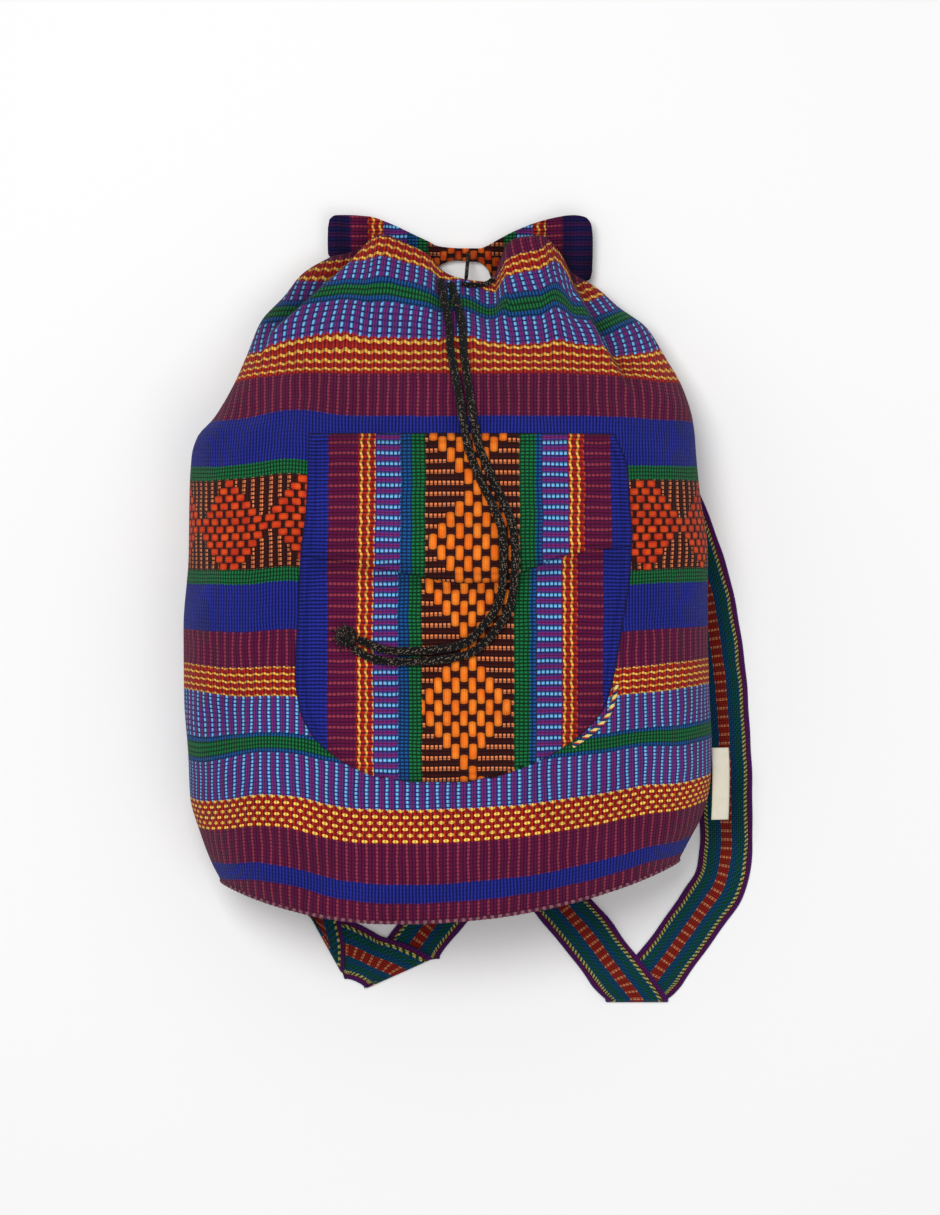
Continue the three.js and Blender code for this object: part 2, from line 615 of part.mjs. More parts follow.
function pocketFlap() {
  const middle = tableAt(pocketBreak, 'across', 0, 'down');
  const steps = [0, 0.15, 0.3, 0.45, 0.58, 0.7, 0.8, 0.9, 1];
  const sheet = (depth) =>
    steps.map((share) =>
      columnShares.map((across) => {
        const { x, y } = pocketPlan(across, middle * share, share * share);
        const over = pouchRoom(across, 0) + pocketWall + clearance;
        const z = frontHeight(x, y) + clearance + over * smooth(share, 0.35, 0.85);
        return new THREE.Vector3(x, y, z + depth);
      }),
    );
  return clothSheet(sheet(0), sheet(pocketWall));
}

// The twisted edging that shows beside the pouch, low on its right
function pocketEdging() {
  const steps = Array.from({ length: 9 }, (_, k) => 0.72 + (0.19 * k) / 8);
  const sheet = (depth) =>
    steps.map((down, k) =>
      [0, 0.5, 1].map((share) => {
        const { x, y } = pocketPlan(1, down, 0);
        const width = edgingWidth * (0.4 + 0.6 * Math.sin((Math.PI * k) / 8));
        const out = 2 * clearance + width * share;
        const low = frontHeight(x + out, y - out * 0.5);
        return new THREE.Vector3(x + out, y - out * 0.5, low + clearance + depth);
      }),
    );
  return clothSheet(sheet(0), sheet(pocketWall));
}

// The stations of a strap: the rows of its route, with even stretches drawn out in steps
function strapStations(route) {
  const stations = [];
  route.forEach((row, k) => {
    stations.push(row);
    const next = route[k + 1];
    if (!next || Math.hypot(next.x - row.x, next.y - row.y) < strapEvenStretch) return;
    const before = route[k - 1] ?? row;
    const after = route[k + 2] ?? next;
    const line = new THREE.CatmullRomCurve3(
      [before, row, next, after].map((r) => new THREE.Vector3(r.x, r.y, r.across)),
      false,
      'catmullrom',
      0.5,
    );
    for (let j = 1; j < strapSteps; j += 1) {
      const at = line.getPoint((1 + j / strapSteps) / 3);
      stations.push({ ...row, x: at.x, y: at.y, across: at.z, high: row.high + ((next.high - row.high) * j) / strapSteps });
    }
  });
  return stations;
}

function strap(route) {
  const shell = new Shell();
  const rings = strapStations(route).map((row) => {
    const heading = THREE.MathUtils.degToRad(row.across);
    const tilt = THREE.MathUtils.degToRad(row.tilt);
    const roll = THREE.MathUtils.degToRad(row.roll);
    const centre = new THREE.Vector3(row.x, row.y, row.high * strapThickness);
    const across = new THREE.Vector3(
      Math.cos(heading) * Math.cos(tilt),
      Math.sin(heading) * Math.cos(tilt),
      Math.sin(tilt),
    );
    const level = new THREE.Vector3(-Math.sin(heading), Math.cos(heading), 0);
    const up = new THREE.Vector3().crossVectors(across, level);
    const normal = up.multiplyScalar(Math.cos(roll)).add(level.multiplyScalar(Math.sin(roll)));
    across.multiplyScalar((strapWidth / 2) * row.stretch);
    normal.multiplyScalar(strapThickness / 2);
    return [
      [-1, -1],
      [1, -1],
      [1, 1],
      [-1, 1],
    ].map(([a, n]) => shell.add(centre.clone().addScaledVector(across, a).addScaledVector(normal, n)));
  });
  for (let k = 1; k < rings.length; k += 1) shell.band(rings[k - 1], rings[k], true);
  const first = rings[0];
  const last = rings[rings.length - 1];
  shell.quad(first[3], first[2], first[1], first[0]);
  shell.quad(last[0], last[1], last[2], last[3]);
  return shell.geometry();
}

// The blank label in the right side seam
function sideLabel() {
  const sheet = (depth) =>
    [0, 0.25, 0.5, 0.75, 1].map((share) =>
      [0, 0.5, 1].map((out) => {
        const y = labelTopY - labelLength * share;
        const along = (y + bodyLength / 2) / bodyLength;
        const x = sectionAt(along).right + 1.5 * clearance + labelWidth * out;
        return new THREE.Vector3(x, y, labelHeight - 4 * out * out + depth);
      }),
    );
  return clothSheet(sheet(0), sheet(labelThickness));
}

// A round cord along hand-chosen points
function cord(points, diameter, steps) {
  const path = new THREE.CatmullRomCurve3(points.map(([x, y, z]) => new THREE.Vector3(x, y, z)), false, 'centripetal');
  const sides = 8;
  const outline = new THREE.Shape(
    Array.from({ length: sides }, (_, k) => {
      const angle = (2 * Math.PI * k) / sides;
      return new THREE.Vector2((Math.cos(angle) * diameter) / 2, (Math.sin(angle) * diameter) / 2);
    }),
  );
  return new THREE.ExtrudeGeometry(outline, { steps, bevelEnabled: false, extrudePath: path });
}

// The knot that ends both strands
function knot() {
  const ball = new THREE.IcosahedronGeometry(knotDiameter / 2, 2);
  return ball.scale(1, 1, knotHeight / knotDiameter).translate(...knotCentre);
}

const colours = {
  cloth: 0x541040,
  pocket: 0xb85018,
  webbing: 0x0a5a78,
  cord: 0x18120f,
  label: 0xe1d7be,
};

function piece(name, geometry, colour, roughness) {
  const material = new THREE.MeshStandardMaterial({ color: colour, roughness, metalness: 0 });
  const mesh = new THREE.Mesh(geometry, material);
  mesh.name = name;
  return mesh;
}

const bag = new THREE.Group();
bag.add(
  piece('bag_body', body.shell.geometry(), colours.cloth, 0.95),
  piece('base_panel', basePanel(), colours.cloth, 0.95),
  piece('mouth_flap', mouthFlap(), colours.cloth, 0.95),
  piece('pocket_pouch', pocketPouch(), colours.pocket, 0.95),
  piece('pocket_flap', pocketFlap(), colours.pocket, 0.95),
  piece('pocket_edging', pocketEdging(), colours.pocket, 0.95),
  piece('strap_right', strap(strapRightRoute), colours.webbing, 0.9),
  piece('strap_left', strap(strapLeftRoute), colours.webbing, 0.9),
  piece('side_label', sideLabel(), colours.label, 0.9),
  piece('drawstring_a', cord(strandARoute, cordDiameter, 50), colours.cord, 0.8),
  piece('drawstring_b', cord(strandBRoute, cordDiameter, 52), colours.cord, 0.8),
  piece('drawstring_knot', knot(), colours.cord, 0.8),
  piece('drawstring_gather', cord(gatherRoute, gatherDiameter, 8), colours.cord, 0.8),
  piece('mouth_tie', cord(tieRoute, tieDiameter, 6), colours.cord, 0.8),
);

export default bag;
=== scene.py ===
"""Dresses the woven drawstring backpack: striped cloth, brocade, webbing, braided cord and the studio."""

import math

import bpy
import numpy as np
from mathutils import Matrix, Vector


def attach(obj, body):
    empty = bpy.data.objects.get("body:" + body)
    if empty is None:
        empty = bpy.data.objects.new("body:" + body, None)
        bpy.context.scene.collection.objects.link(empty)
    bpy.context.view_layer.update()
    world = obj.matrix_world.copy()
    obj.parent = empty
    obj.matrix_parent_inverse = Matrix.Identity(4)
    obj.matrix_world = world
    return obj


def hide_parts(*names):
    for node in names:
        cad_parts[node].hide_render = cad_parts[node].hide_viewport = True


bl_info = {
    "name": "Woven drawstring backpack",
    "version": (1, 0, 0),
    "blender": (4, 5, 0),
    "location": "3D View > Sidebar > Backpack",
    "description": "Makes the cloth, pocket, straps and cord of a striped woven backpack",
    "category": "Add Mesh",
}

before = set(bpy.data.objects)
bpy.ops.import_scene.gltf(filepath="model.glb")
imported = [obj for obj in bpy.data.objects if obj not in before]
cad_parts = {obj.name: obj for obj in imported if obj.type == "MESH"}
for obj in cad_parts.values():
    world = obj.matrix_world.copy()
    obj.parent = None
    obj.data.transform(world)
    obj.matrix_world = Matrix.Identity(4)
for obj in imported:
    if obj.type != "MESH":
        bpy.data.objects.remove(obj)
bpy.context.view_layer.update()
bpy.ops.object.select_all(action="DESELECT")

MM = 0.001

# Sizes of the body in millimetres, the same as the solids'
BODY_LENGTH = 400
BODY_HALF = 165
BODY_DEPTH = 146
CLOTH_WALL = 2
CLEARANCE = 0.35
RISE_LEFT = 22
RISE_RIGHT = 35
SEAM_LOW_X = -37
MOUTH_RISE = 30
PLEAT_DEPTH = 11
PLEAT_LIP = 2.5
PLEAT_DECAY = 20
PLEAT_LIMIT = 0.9
STRAP_TUNNEL = 2.35
ROUNDNESS = 2.3
BELT_SHARE = 0.42
BACK_SAG = 1.2
NECK_FROM = 0.8
FOLD_DEPTH = 6
FOLD_WIDTH = 12

# Rows below the neck, rows of the neck, columns of the front, columns of the back
BODY_GRID = (100, 64, 241, 52)

# Sections of the body: share along, left half width, right half width, depth, lift of the back
BODY_ROWS = np.array([
    (0.0, 0.856, 0.879, 0.8, 1),
    (0.03, 0.894, 0.913, 0.84, 1),
    (0.08, 0.936, 0.968, 0.89, 1),
    (0.14, 0.972, 0.996, 0.94, 0.9),
    (0.22, 0.979, 1.002, 0.98, 0),
    (0.32, 0.994, 0.992, 1.0, 0),
    (0.44, 0.996, 0.987, 1.0, 0),
    (0.56, 0.977, 0.987, 0.985, 0),
    (0.66, 0.975, 0.958, 0.94, 0),
    (0.72, 0.968, 0.945, 0.88, 0.8),
    (0.75, 0.947, 0.941, 0.84, 1),
    (0.78, 0.886, 0.932, 0.79, 1),
    (0.83, 0.818, 0.896, 0.68, 1),
    (0.88, 0.765, 0.83, 0.56, 1),
    (0.92, 0.716, 0.765, 0.46, 1),
    (0.95, 0.625, 0.655, 0.37, 1),
    (0.975, 0.56, 0.58, 0.3, 1),
    (1.0, 0.447, 0.477, 0.23, 1),
])

# The front rim: place across, rise
RIM_ROWS = np.array([
    (-0.45, 0.56),
    (-0.39, 0.6),
    (-0.32, 0.76),
    (-0.254, 0.99),
    (-0.143, 0.76),
    (-0.062, 0.51),
    (-0.028, 0.27),
    (0.022, 0.11),
    (0.087, 0.03),
    (0.141, 0.0),
    (0.183, 0.17),
    (0.204, 0.46),
    (0.23, 0.8),
    (0.279, 0.93),
    (0.359, 0.97),
    (0.436, 0.62),
    (0.48, 0.22),
])

# Pleats: side, place at the rim, spread, share along of the rim, where the pleat starts, where it is full
PLEATS = [
    (-1, 0.315, 3.7, 1.0, 0.86, 0.94),
    (1, 0.45, 1.3, 1.0, 0.78, 0.9),
]

# How far the stripes wander off level between the pleats: x, at the green band, at the rim
WANDER = np.array([
    (-110, -3, -3),
    (-66, -7.5, -6),
    (-41, -2.5, 0),
    (-10, -4, -3),
    (11, -9, -11),
    (25, -5, -5),
    (33, -2, 6),
    (41, 3, 9),
    (58, 2.5, 7.5),
    (70, -2.5, -4),
    (110, 0, 0),
])

# Folds: start along, start across, end along, end across, depth, width
FOLDS = [
    (1.02, 0.13, 0.87, 0.2, 0.8, 1.1),
    (1.02, 0.08, 0.88, -0.06, 0.6, 0.9),
    (1.02, 0.02, 0.9, -0.3, 0.5, 0.8),
    (1.02, 0.18, 0.88, 0.42, 0.5, 0.8),
    (0.8, -0.62, 0.72, -0.93, 0.7, 1.6),
    (0.37, -0.79, 0.2, -0.84, 0.8, 1.5),
    (0.78, 0.86, 0.66, 0.8, 0.5, 1.5),
    (0.14, 0.72, 0.05, 0.45, 0.5, 1.5),
    (0.1, -0.72, 0.04, -0.4, 0.4, 1.4),
]

# Soft ripples of the cloth: length in X, length in Y, phase, size
RIPPLES = [
    (61, 43, 0.4, 0.5),
    (-37, 58, 2.1, 0.4),
    (23, -31, 4.0, 0.25),
    (90, 19, 1.2, 0.25),
]

# Camera, in metres: where it stands over the floor, and the width of its film in millimetres
CAMERA_PLACE = (0.0144, -0.0064)
CAMERA_FILM = 36

# Base panel: its rings as shares of its outline, its fit in the rim, its bulge, and its place in the weave
BASE_RINGS = (1.0, 0.97, 0.9, 0.8, 0.65, 0.5, 0.35, 0.2, 0.1)
BASE_FIT = 0.985
BASE_INSET = 1.5
BASE_PUSH = 4
BASE_WEAVE_SHARE = 0.14
BASE_WEAVE_START = 29

# Welt along the base seam
WELT_RADIUS = 1.25
WELT_BEAD = 3.4
WELT_BEADING = 0.16
WELT_STEP = 1.2
WELT_SIDES = 10

# Pocket
POCKET_LENGTH = 212
POCKET_HALF = 99
POCKET_CENTRE_X = 12
POCKET_TOP_Y = 100
POCKET_WALL = 1.6
POCKET_PUFF = 9
POCKET_OVERLAP = 9
HEM_RISE = 0.8
SEWN_GAP = 0.5
EDGING_WIDTH = 4
EDGING_DIAMETER = 3.2
EDGING_SPAN = (0.72, 0.91)
EDGING_POINTS = 60

# Outline of the pocket: share down, left, right
POCKET_ROWS = np.array([
    (0.0, 0.976, 0.921),
    (0.111, 0.976, 1.0),
    (0.254, 0.985, 1.012),
    (0.368, 1.006, 1.024),
    (0.482, 1.024, 1.012),
    (0.595, 1.037, 0.963),
    (0.709, 1.049, 0.915),
    (0.795, 1.024, 0.854),
    (0.866, 0.951, 0.713),
    (0.923, 0.823, 0.524),
    (0.966, 0.659, 0.268),
    (1.0, 0.36, 0.02),
])

# Lower edge of the pocket's flap: place across, share down
POCKET_BREAK = np.array([
    (-1.05, 0.35),
    (-0.7, 0.376),
    (-0.4, 0.402),
    (0.0, 0.433),
    (0.2, 0.43),
    (0.38, 0.393),
    (0.6, 0.353),
    (1.05, 0.322),
])

# Mouth flap; its outline is place across, lower edge, upper edge
FLAP_REACH = 50
FLAP_LIFT = 6
FLAP_WALL = 2
FLAP_HALF = 84
FLAP_CENTRE_X = 8
FLAP_ROWS = np.array([
    (-1.0, 0.38, 0.7),
    (-0.985, 0.34, 0.81),
    (-0.94, 0.32, 0.86),
    (-0.86, 0.29, 0.87),
    (-0.7, 0.2, 0.86),
    (-0.56, -0.12, 0.79),
    (-0.4, -0.14, 0.67),
    (-0.235, -0.12, 0.54),
    (-0.19, 0.17, 0.5),
    (-0.13, 0.26, 0.475),
    (-0.04, 0.3, 0.46),
    (0.14, 0.28, 0.455),
    (0.22, 0.17, 0.5),
    (0.27, -0.12, 0.55),
    (0.42, -0.14, 0.68),
    (0.56, -0.1, 0.77),
    (0.7, -0.06, 0.83),
    (0.86, 0.0, 0.86),
    (0.94, 0.02, 0.84),
    (0.985, 0.05, 0.76),
    (1.0, 0.14, 0.62),
])

# Straps; their routes are x, y, height in thicknesses, heading and stretch of the width, roll
STRAP_WIDTH = 34
STRAP_THICKNESS = 2
STRAP_STEP = 3
STRAP_RIGHT_ROUTE = [
    (16, 183, 0.5, 45, 1, 0),
    (42, 160, 0.5, 45, 1, 0),
    (86, 131, 0.5, 44, 1, 0),
    (121, 99, 0.5, 42, 1, 0),
    (144, 64, 0.5, 30, 1, 0),
    (158, 28, 0.5, 22, 1, 0),
    (168, -8, 0.5, 12, 1, 0),
    (174, -52, 0.5, 6, 1, 0),
    (177, -94, 0.5, 3, 1, 0),
    (178, -135, 0.5, 0, 1, 0),
    (178, -163, 0.5, -4, 1, 0),
    (174, -183, 0.5, -24, 1, 0),
    (165, -197, 0.5, -34, 1, 0),
    (151, -217, 0.5, -34, 1, 0),
    (137, -236, 0.5, -34, 1, 0),
    (121, -256.5, 0.5, 0, 1.18, 0),
    (121, -257.7, 1.09, 0, 1.18, 90),
    (121, -256.5, 1.68, 0, 1.18, 180),
    (104, -235, 1.68, 36, 1, 180),
    (90, -216, 1.2, 36, 1, 180),
    (76, -200, 0.5, 37, 1, 180),
    (65, -186, 0.5, 37, 1, 180),
]
STRAP_LEFT_ROUTE = [
    (-18, 183, 0.5, -45, 1, 0),
    (-44, 160, 0.5, -45, 1, 0),
    (-86, 128, 0.5, -44, 1, 0),
    (-120, 92, 0.5, -36, 1, 0),
    (-134, 48, 0.5, -17, 1, 0),
    (-139, 0, 0.5, -6, 1, 0),
    (-140, -50, 0.5, 3, 1, 0),
    (-134, -100, 0.5, 13, 1, 0),
    (-123, -141, 0.5, 30, 1, 0),
    (-97, -176, 0.5, 26, 1, 0),
    (-86, -194, 0.5, 2, 1, 0),
    (-83, -203, 1.7, -25, 1, 0),
    (-77, -220, 2.1, -61, 1.3, 0),
    (-77.6, -220.3, 1.43, -61, 1.3, -90),
    (-77, -220, 0.75, -61, 1.3, -180),
    (-57, -228, 0.9, -114, 1, -180),
    (-46, -233, 1.5, -116, 1, -180),
    (-31.5, -239, 1.68, -156, 1.35, -180),
    (-31.2, -239.6, 1.09, -156, 1.35, -90),
    (-31.5, -239, 0.5, -156, 1.35, 0),
    (-19, -220, 0.5, -214, 1, 0),
    (-5, -202, 0.5, -218, 1, 0),
    (6, -188, 0.5, -220, 1, 0),
]

# Side label
LABEL_LENGTH = 45
LABEL_WIDTH = 11
LABEL_THICKNESS = 1.2
LABEL_TOP_Y = -94
LABEL_HEIGHT = 62
LABEL_THREAD = 0.9

# Cords, in metres
CORD_DIAMETER = 0.0055
TIE_DIAMETER = 0.0024
GATHER_DIAMETER = 0.0032
STRAND_A_ROUTE = [
    (-0.004, 0.199, 0.0432), (-0.0025, 0.19, 0.0522), (0.001, 0.172, 0.068), (0.0025, 0.152, 0.0859),
    (0.0055, 0.136, 0.0999), (0.008, 0.122, 0.1123), (0.01, 0.108, 0.1238), (0.0115, 0.101, 0.1275),
    (0.013, 0.092, 0.1318), (0.017, 0.08, 0.1369), (0.022, 0.068, 0.1412), (0.028, 0.056, 0.1458),
    (0.0335, 0.04, 0.1558), (0.0345, 0.022, 0.1614), (0.034, 0.009, 0.16), (0.033, 0.001, 0.1586),
    (0.03, -0.007, 0.1586), (0.022, -0.018, 0.1592), (0.012, -0.0275, 0.1595), (-0.004, -0.0315, 0.1592),
    (-0.02, -0.0325, 0.1584), (-0.036, -0.032, 0.1567), (-0.045, -0.029, 0.1555), (-0.053, -0.0256, 0.154),
]
STRAND_B_ROUTE = [
    (0.0025, 0.197, 0.0415), (0.005, 0.188, 0.0501), (0.009, 0.172, 0.0667), (0.0105, 0.152, 0.0862),
    (0.0125, 0.136, 0.0999), (0.0145, 0.122, 0.1124), (0.0165, 0.108, 0.1239), (0.018, 0.101, 0.1273),
    (0.0195, 0.093, 0.1311), (0.0235, 0.082, 0.136), (0.0285, 0.07, 0.1403), (0.035, 0.057, 0.1449),
    (0.0405, 0.04, 0.1544), (0.0415, 0.022, 0.1611), (0.041, 0.01, 0.1608), (0.04, 0.001, 0.1595),
    (0.037, -0.009, 0.1593), (0.0285, -0.022, 0.1589), (0.015, -0.0335, 0.1592), (-0.003, -0.0378, 0.1591),
    (-0.02, -0.0388, 0.1584), (-0.037, -0.0385, 0.1563), (-0.048, -0.0355, 0.1548),
    (-0.0564, -0.0306, 0.1533),
]
GATHER_ROUTE = [
    (0.009, 0.1976, 0.0368), (0.016, 0.1972, 0.0356), (0.024, 0.1976, 0.037), (0.03, 0.201, 0.038),
]
TIE_ROUTE = [(0.0135, 0.2195, 0.0098), (0.0126, 0.21, 0.0195), (0.012, 0.202, 0.0305)]
KNOT_CENTRE = (-0.06, -0.0236, 0.1555)
KNOT_SIZE = (0.013, 0.013, 0.01)
FRAY_START = 0.005
FRAY_DIAMETER = 0.0009

# The weave, in millimetres: a group of ribs, one thread across the stripes, and rows of coloured dots
RIB_GROUP = 6.2
POCKET_RIB_GROUP = 6.65
THREAD = 2.4
FLAME_ROW = 4.4
SPARK_ROW = 3.8
DOT_PITCH = 2.65
TEAL_BORDER = 2.6
RUNG = 5.6
BRAID = 3.2

# The brocade of each cloth: yarn, lighter yarn, step of the floats, height of a row, length of a diamond,
# and where along the stripes the diamonds are narrowest
BROCADES = {
    "body": ("ember", "coral", 8.4, 4.75, 52.8, -112),
    "mouth flap": ("ember", "orange", 8.4, 4.75, 60, 176),
    "pouch": ("orange", "amber", 13.3, 5.3, 74, -29),
    "pocket flap": ("orange", "amber", 13.3, 5.3, 74, 71),
}

# Stripes of the webbing, from its middle out: inner edge as a share of the half width, yarn
WEBBING_STRIPES = [(0.2, "teal"), (0.42, "green"), (0.6, "teal"), (0.68, "yellow"), (0.8, "maroon")]

# Stripes of the body, from the base seam up: upper edge, kind
BODY_STRIPES = [
    (13, "maroon"), (25, "blue"), (50, "maroon"), (71, "sparks"), (98, "lilac"), (111, "green"),
    (134, "lilac"), (152, "flame"), (175, "maroon"), (205, "blue"), (214, "green"), (271, "brocade"),
    (280, "green"), (311, "blue"), (338, "maroon"), (356, "flame"), (369, "lilac"), (379, "green"),
    (388, "lilac"), (398.6, "flame"), (430, "maroon"),
]

# Stripes of the pocket and the mouth flap, from the left: right edge in millimetres, kind
POCKET_STRIPES = [
    (13, "blue"), (31, "maroon"), (41.5, "flame"), (57, "lilac"), (64, "teal"), (72, "green"),
    (129, "brocade"), (139, "green"), (143, "teal"), (159, "lilac"), (168.5, "flame"), (185, "maroon"),
    (210, "blue"),
]
FLAP_STRIPES = [
    (14, "navy"), (25, "maroon"), (35, "flame"), (50, "lilac"), (57, "teal"), (63, "green"), (112, "brocade"),
    (120, "green"), (131, "lilac"), (139, "flame"), (150, "maroon"), (175, "navy"),
]


def colour_property(name, description, colour):
    """A colour that the user may change."""
    return bpy.props.FloatVectorProperty(
        name=name, description=description, subtype="COLOR", size=3, min=0, max=1, default=colour
    )


class BackpackYarns(bpy.types.PropertyGroup):
    """Colours of the yarns, as linear light."""

    blue: colour_property("Blue", "Blue stripes", (0.007, 0.011, 0.15))
    navy: colour_property("Navy", "Darkest stripes of the mouth flap", (0.008, 0.006, 0.06))
    maroon: colour_property("Maroon", "Dark ground of the maroon stripes", (0.1, 0.004, 0.042))
    rose: colour_property("Rose", "Light ribs in the maroon stripes", (0.24, 0.028, 0.06))
    brick: colour_property("Brick red", "Ground of the flame stripes", (0.42, 0.018, 0.006))
    yellow: colour_property("Yellow", "Wavy rows of the flame stripes", (1.0, 0.62, 0.1))
    purple: colour_property("Purple", "Ground of the lilac stripes", (0.042, 0.026, 0.17))
    magenta: colour_property("Magenta", "Magenta ribs of the lilac stripes", (0.22, 0.018, 0.17))
    sky: colour_property("Sky blue", "Dotted ribs of the lilac stripes", (0.15, 0.46, 0.78))
    green: colour_property("Green", "Green stripes", (0.002, 0.055, 0.016))
    teal: colour_property("Teal", "Borders of the green stripes", (0.003, 0.034, 0.12))
    crimson: colour_property("Crimson", "Second ground of the flame stripes", (0.22, 0.007, 0.018))
    amber: colour_property("Amber", "Lighter floats of the brocade", (0.95, 0.24, 0.02))
    petrol: colour_property("Petrol", "Mottling of the webbing", (0.002, 0.07, 0.11))
    straw: colour_property("Straw", "Twisted line along the webbing's edges", (0.5, 0.42, 0.13))
    rung: colour_property("Rung", "Rungs of the webbing's ladder", (0.55, 0.2, 0.09))
    plum: colour_property("Plum", "Edges of the webbing", (0.06, 0.008, 0.12))
    orange: colour_property("Orange", "Brocade of the pocket", (0.85, 0.15, 0.01))
    ember: colour_property("Ember", "Brocade of the body", (0.5, 0.028, 0.008))
    coral: colour_property("Coral", "Lighter floats of the body's brocade", (0.74, 0.075, 0.01))
    umber: colour_property("Umber", "Ground of the brocade", (0.035, 0.005, 0.005))
    dots: colour_property("Dots", "Dotted rows beside the brocade", (0.7, 0.2, 0.07))
    cord: colour_property("Cord", "Black yarn of the drawstring", (0.004, 0.0035, 0.0035))
    fleck: colour_property("Fleck", "Grey yarn of the drawstring", (0.3, 0.24, 0.17))


class BackpackSizes(bpy.types.PropertyGroup):
    """Sizes of the fine detail."""

    ripple: bpy.props.FloatProperty(
        name="Ripple", description="Height of the cloth's soft ripples", unit="LENGTH", default=0.9 * MM
    )
    rib: bpy.props.FloatProperty(
        name="Rib", description="How far the ribs stand out of the weave", unit="LENGTH", default=0.5 * MM
    )
    camera_height: bpy.props.FloatProperty(
        name="Camera height", description="Height of the camera over the floor", unit="LENGTH", default=2.6
    )
    lens: bpy.props.FloatProperty(
        name="Lens", description="Focal length in millimetres", subtype="DISTANCE_CAMERA", default=120.4
    )


def hermite(start, end, leave, arrive, t):
    """A place on the smooth curve between two values, given how it leaves one and arrives at the other."""
    return (
        start * (2 * t**3 - 3 * t**2 + 1)
        + leave * (t**3 - 2 * t**2 + t)
        + end * (3 * t**2 - 2 * t**3)
        + arrive * (t**3 - t**2)
    )


def curve(rows, column, at):
    """Reads a table at places between its rows, on a smooth curve through them."""
    x, y = rows[:, 0], rows[:, column]
    step = np.diff(x)
    slope = np.diff(y) / step
    both = slope[:-1] * slope[1:]
    total = np.where(both > 0, slope[:-1] + slope[1:], 1)
    bend = np.concatenate([slope[:1], np.where(both > 0, 2 * both / total, 0), slope[-1:]])
    at = np.asarray(at, float)
    k = np.clip(np.searchsorted(x, at, side="right") - 1, 0, len(x) - 2)
    t = np.clip((at - x[k]) / step[k], 0, 1)
    return hermite(y[k], y[k + 1], step[k] * bend[k], step[k] * bend[k + 1], t)


def ease(at, low, high):
    """Goes smoothly from 0 at low to 1 at high."""
    t = np.clip((at - low) / (high - low), 0, 1)
    return t * t * (3 - 2 * t)


def section(along):
    """Left and right half width, top, back and belt of the body."""
    back = STRAP_TUNNEL * curve(BODY_ROWS, 4, along)
    top = BODY_DEPTH * curve(BODY_ROWS, 3, along)
    left = BODY_HALF * curve(BODY_ROWS, 1, along)
    right = BODY_HALF * curve(BODY_ROWS, 2, along)
    return left, right, top, back, back + (top - back) * BELT_SHARE


def seam_rise(x):
    """How far the base seam lies above its lowest point."""
    left, right = section(0.0)[:2]
    west = RISE_LEFT * np.maximum(0, (SEAM_LOW_X - x) / (SEAM_LOW_X + left)) ** 1.9
    east = RISE_RIGHT * np.maximum(0, (x - SEAM_LOW_X) / (right - SEAM_LOW_X)) ** 2.2
    return np.where(x < SEAM_LOW_X, west, east)


def body_y(along, x, front):
    """The place on Y of a point of the body."""
    rim = MOUTH_RISE * curve(RIM_ROWS, 1, x / BODY_HALF) * front
    return (along - 0.5) * BODY_LENGTH + seam_rise(x) * (1 - along) ** 3 + rim * ease(along, 0.84, 1) ** 1.5


def along_at(x, y):
    """The share along the body at which its front has a given place."""
    low = np.zeros_like(x)
    high = np.ones_like(x)
    for _ in range(26):
        middle = (low + high) / 2
        below = body_y(middle, x, 1) < y
        low = np.where(below, middle, low)
        high = np.where(below, high, middle)
    return (low + high) / 2


def past_pleats(x, along):
    """For each pleat, how far a point lies past it, and how much of the pleat there is there."""
    left, right = section(along)[:2]
    for sign, rim_share, spread, rim_along, fade_from, fade_to in PLEATS:
        half = left if sign < 0 else right
        share = np.minimum(PLEAT_LIMIT, (rim_share + (rim_along - along) * spread) * BODY_HALF / half)
        yield sign * x - share * half, ease(along, fade_from, fade_to)


def pleat_shade(x, along):
    """The shade that lies on the cloth past each pleat."""
    (west, west_depth), (east, east_depth) = past_pleats(x, along)
    shade = 0.7 * west_depth * ease(west, 0, 1.5) * np.exp(-np.maximum(0, west) / 24)
    return shade + 0.75 * east_depth * ease(east, 0, 1.5) * np.exp(-np.maximum(0, east) / 8)


def fold_drop(x, along):
    """How far pleats and folds take the front down."""
    drop = np.zeros_like(x)
    for beyond, amount in past_pleats(x, along):
        depth = PLEAT_DEPTH * amount
        step = depth * np.clip(beyond / PLEAT_LIP, 0, 1)
        drop += step * np.exp(-np.maximum(0, beyond - PLEAT_LIP) / PLEAT_DECAY)
    for start, start_x, end, end_x, depth, width in FOLDS:
        run_x = (end_x - start_x) * BODY_HALF
        run_y = (end - start) * BODY_LENGTH
        run = math.hypot(run_x, run_y)
        at_x = x - start_x * BODY_HALF
        at_y = (along - start) * BODY_LENGTH
        share = (at_x * run_x + at_y * run_y) / run**2
        off = (at_x * run_y - at_y * run_x) / run / (FOLD_WIDTH * width)
        fade = ease(share, -0.1, 0.25) * (1 - ease(share, 0.5, 1.15))
        drop += FOLD_DEPTH * depth * np.exp(-off * off) * fade
    return drop


def front_height(x, y):
    """The height of the body's front over the floor."""
    along = along_at(x, y)
    left, right, top, _, belt = section(along)
    share = np.minimum(1, np.abs(x) / np.where(x < 0, left, right))
    return belt + (top - belt - fold_drop(x, along)) * (1 - share**ROUNDNESS) ** (1 / ROUNDNESS)


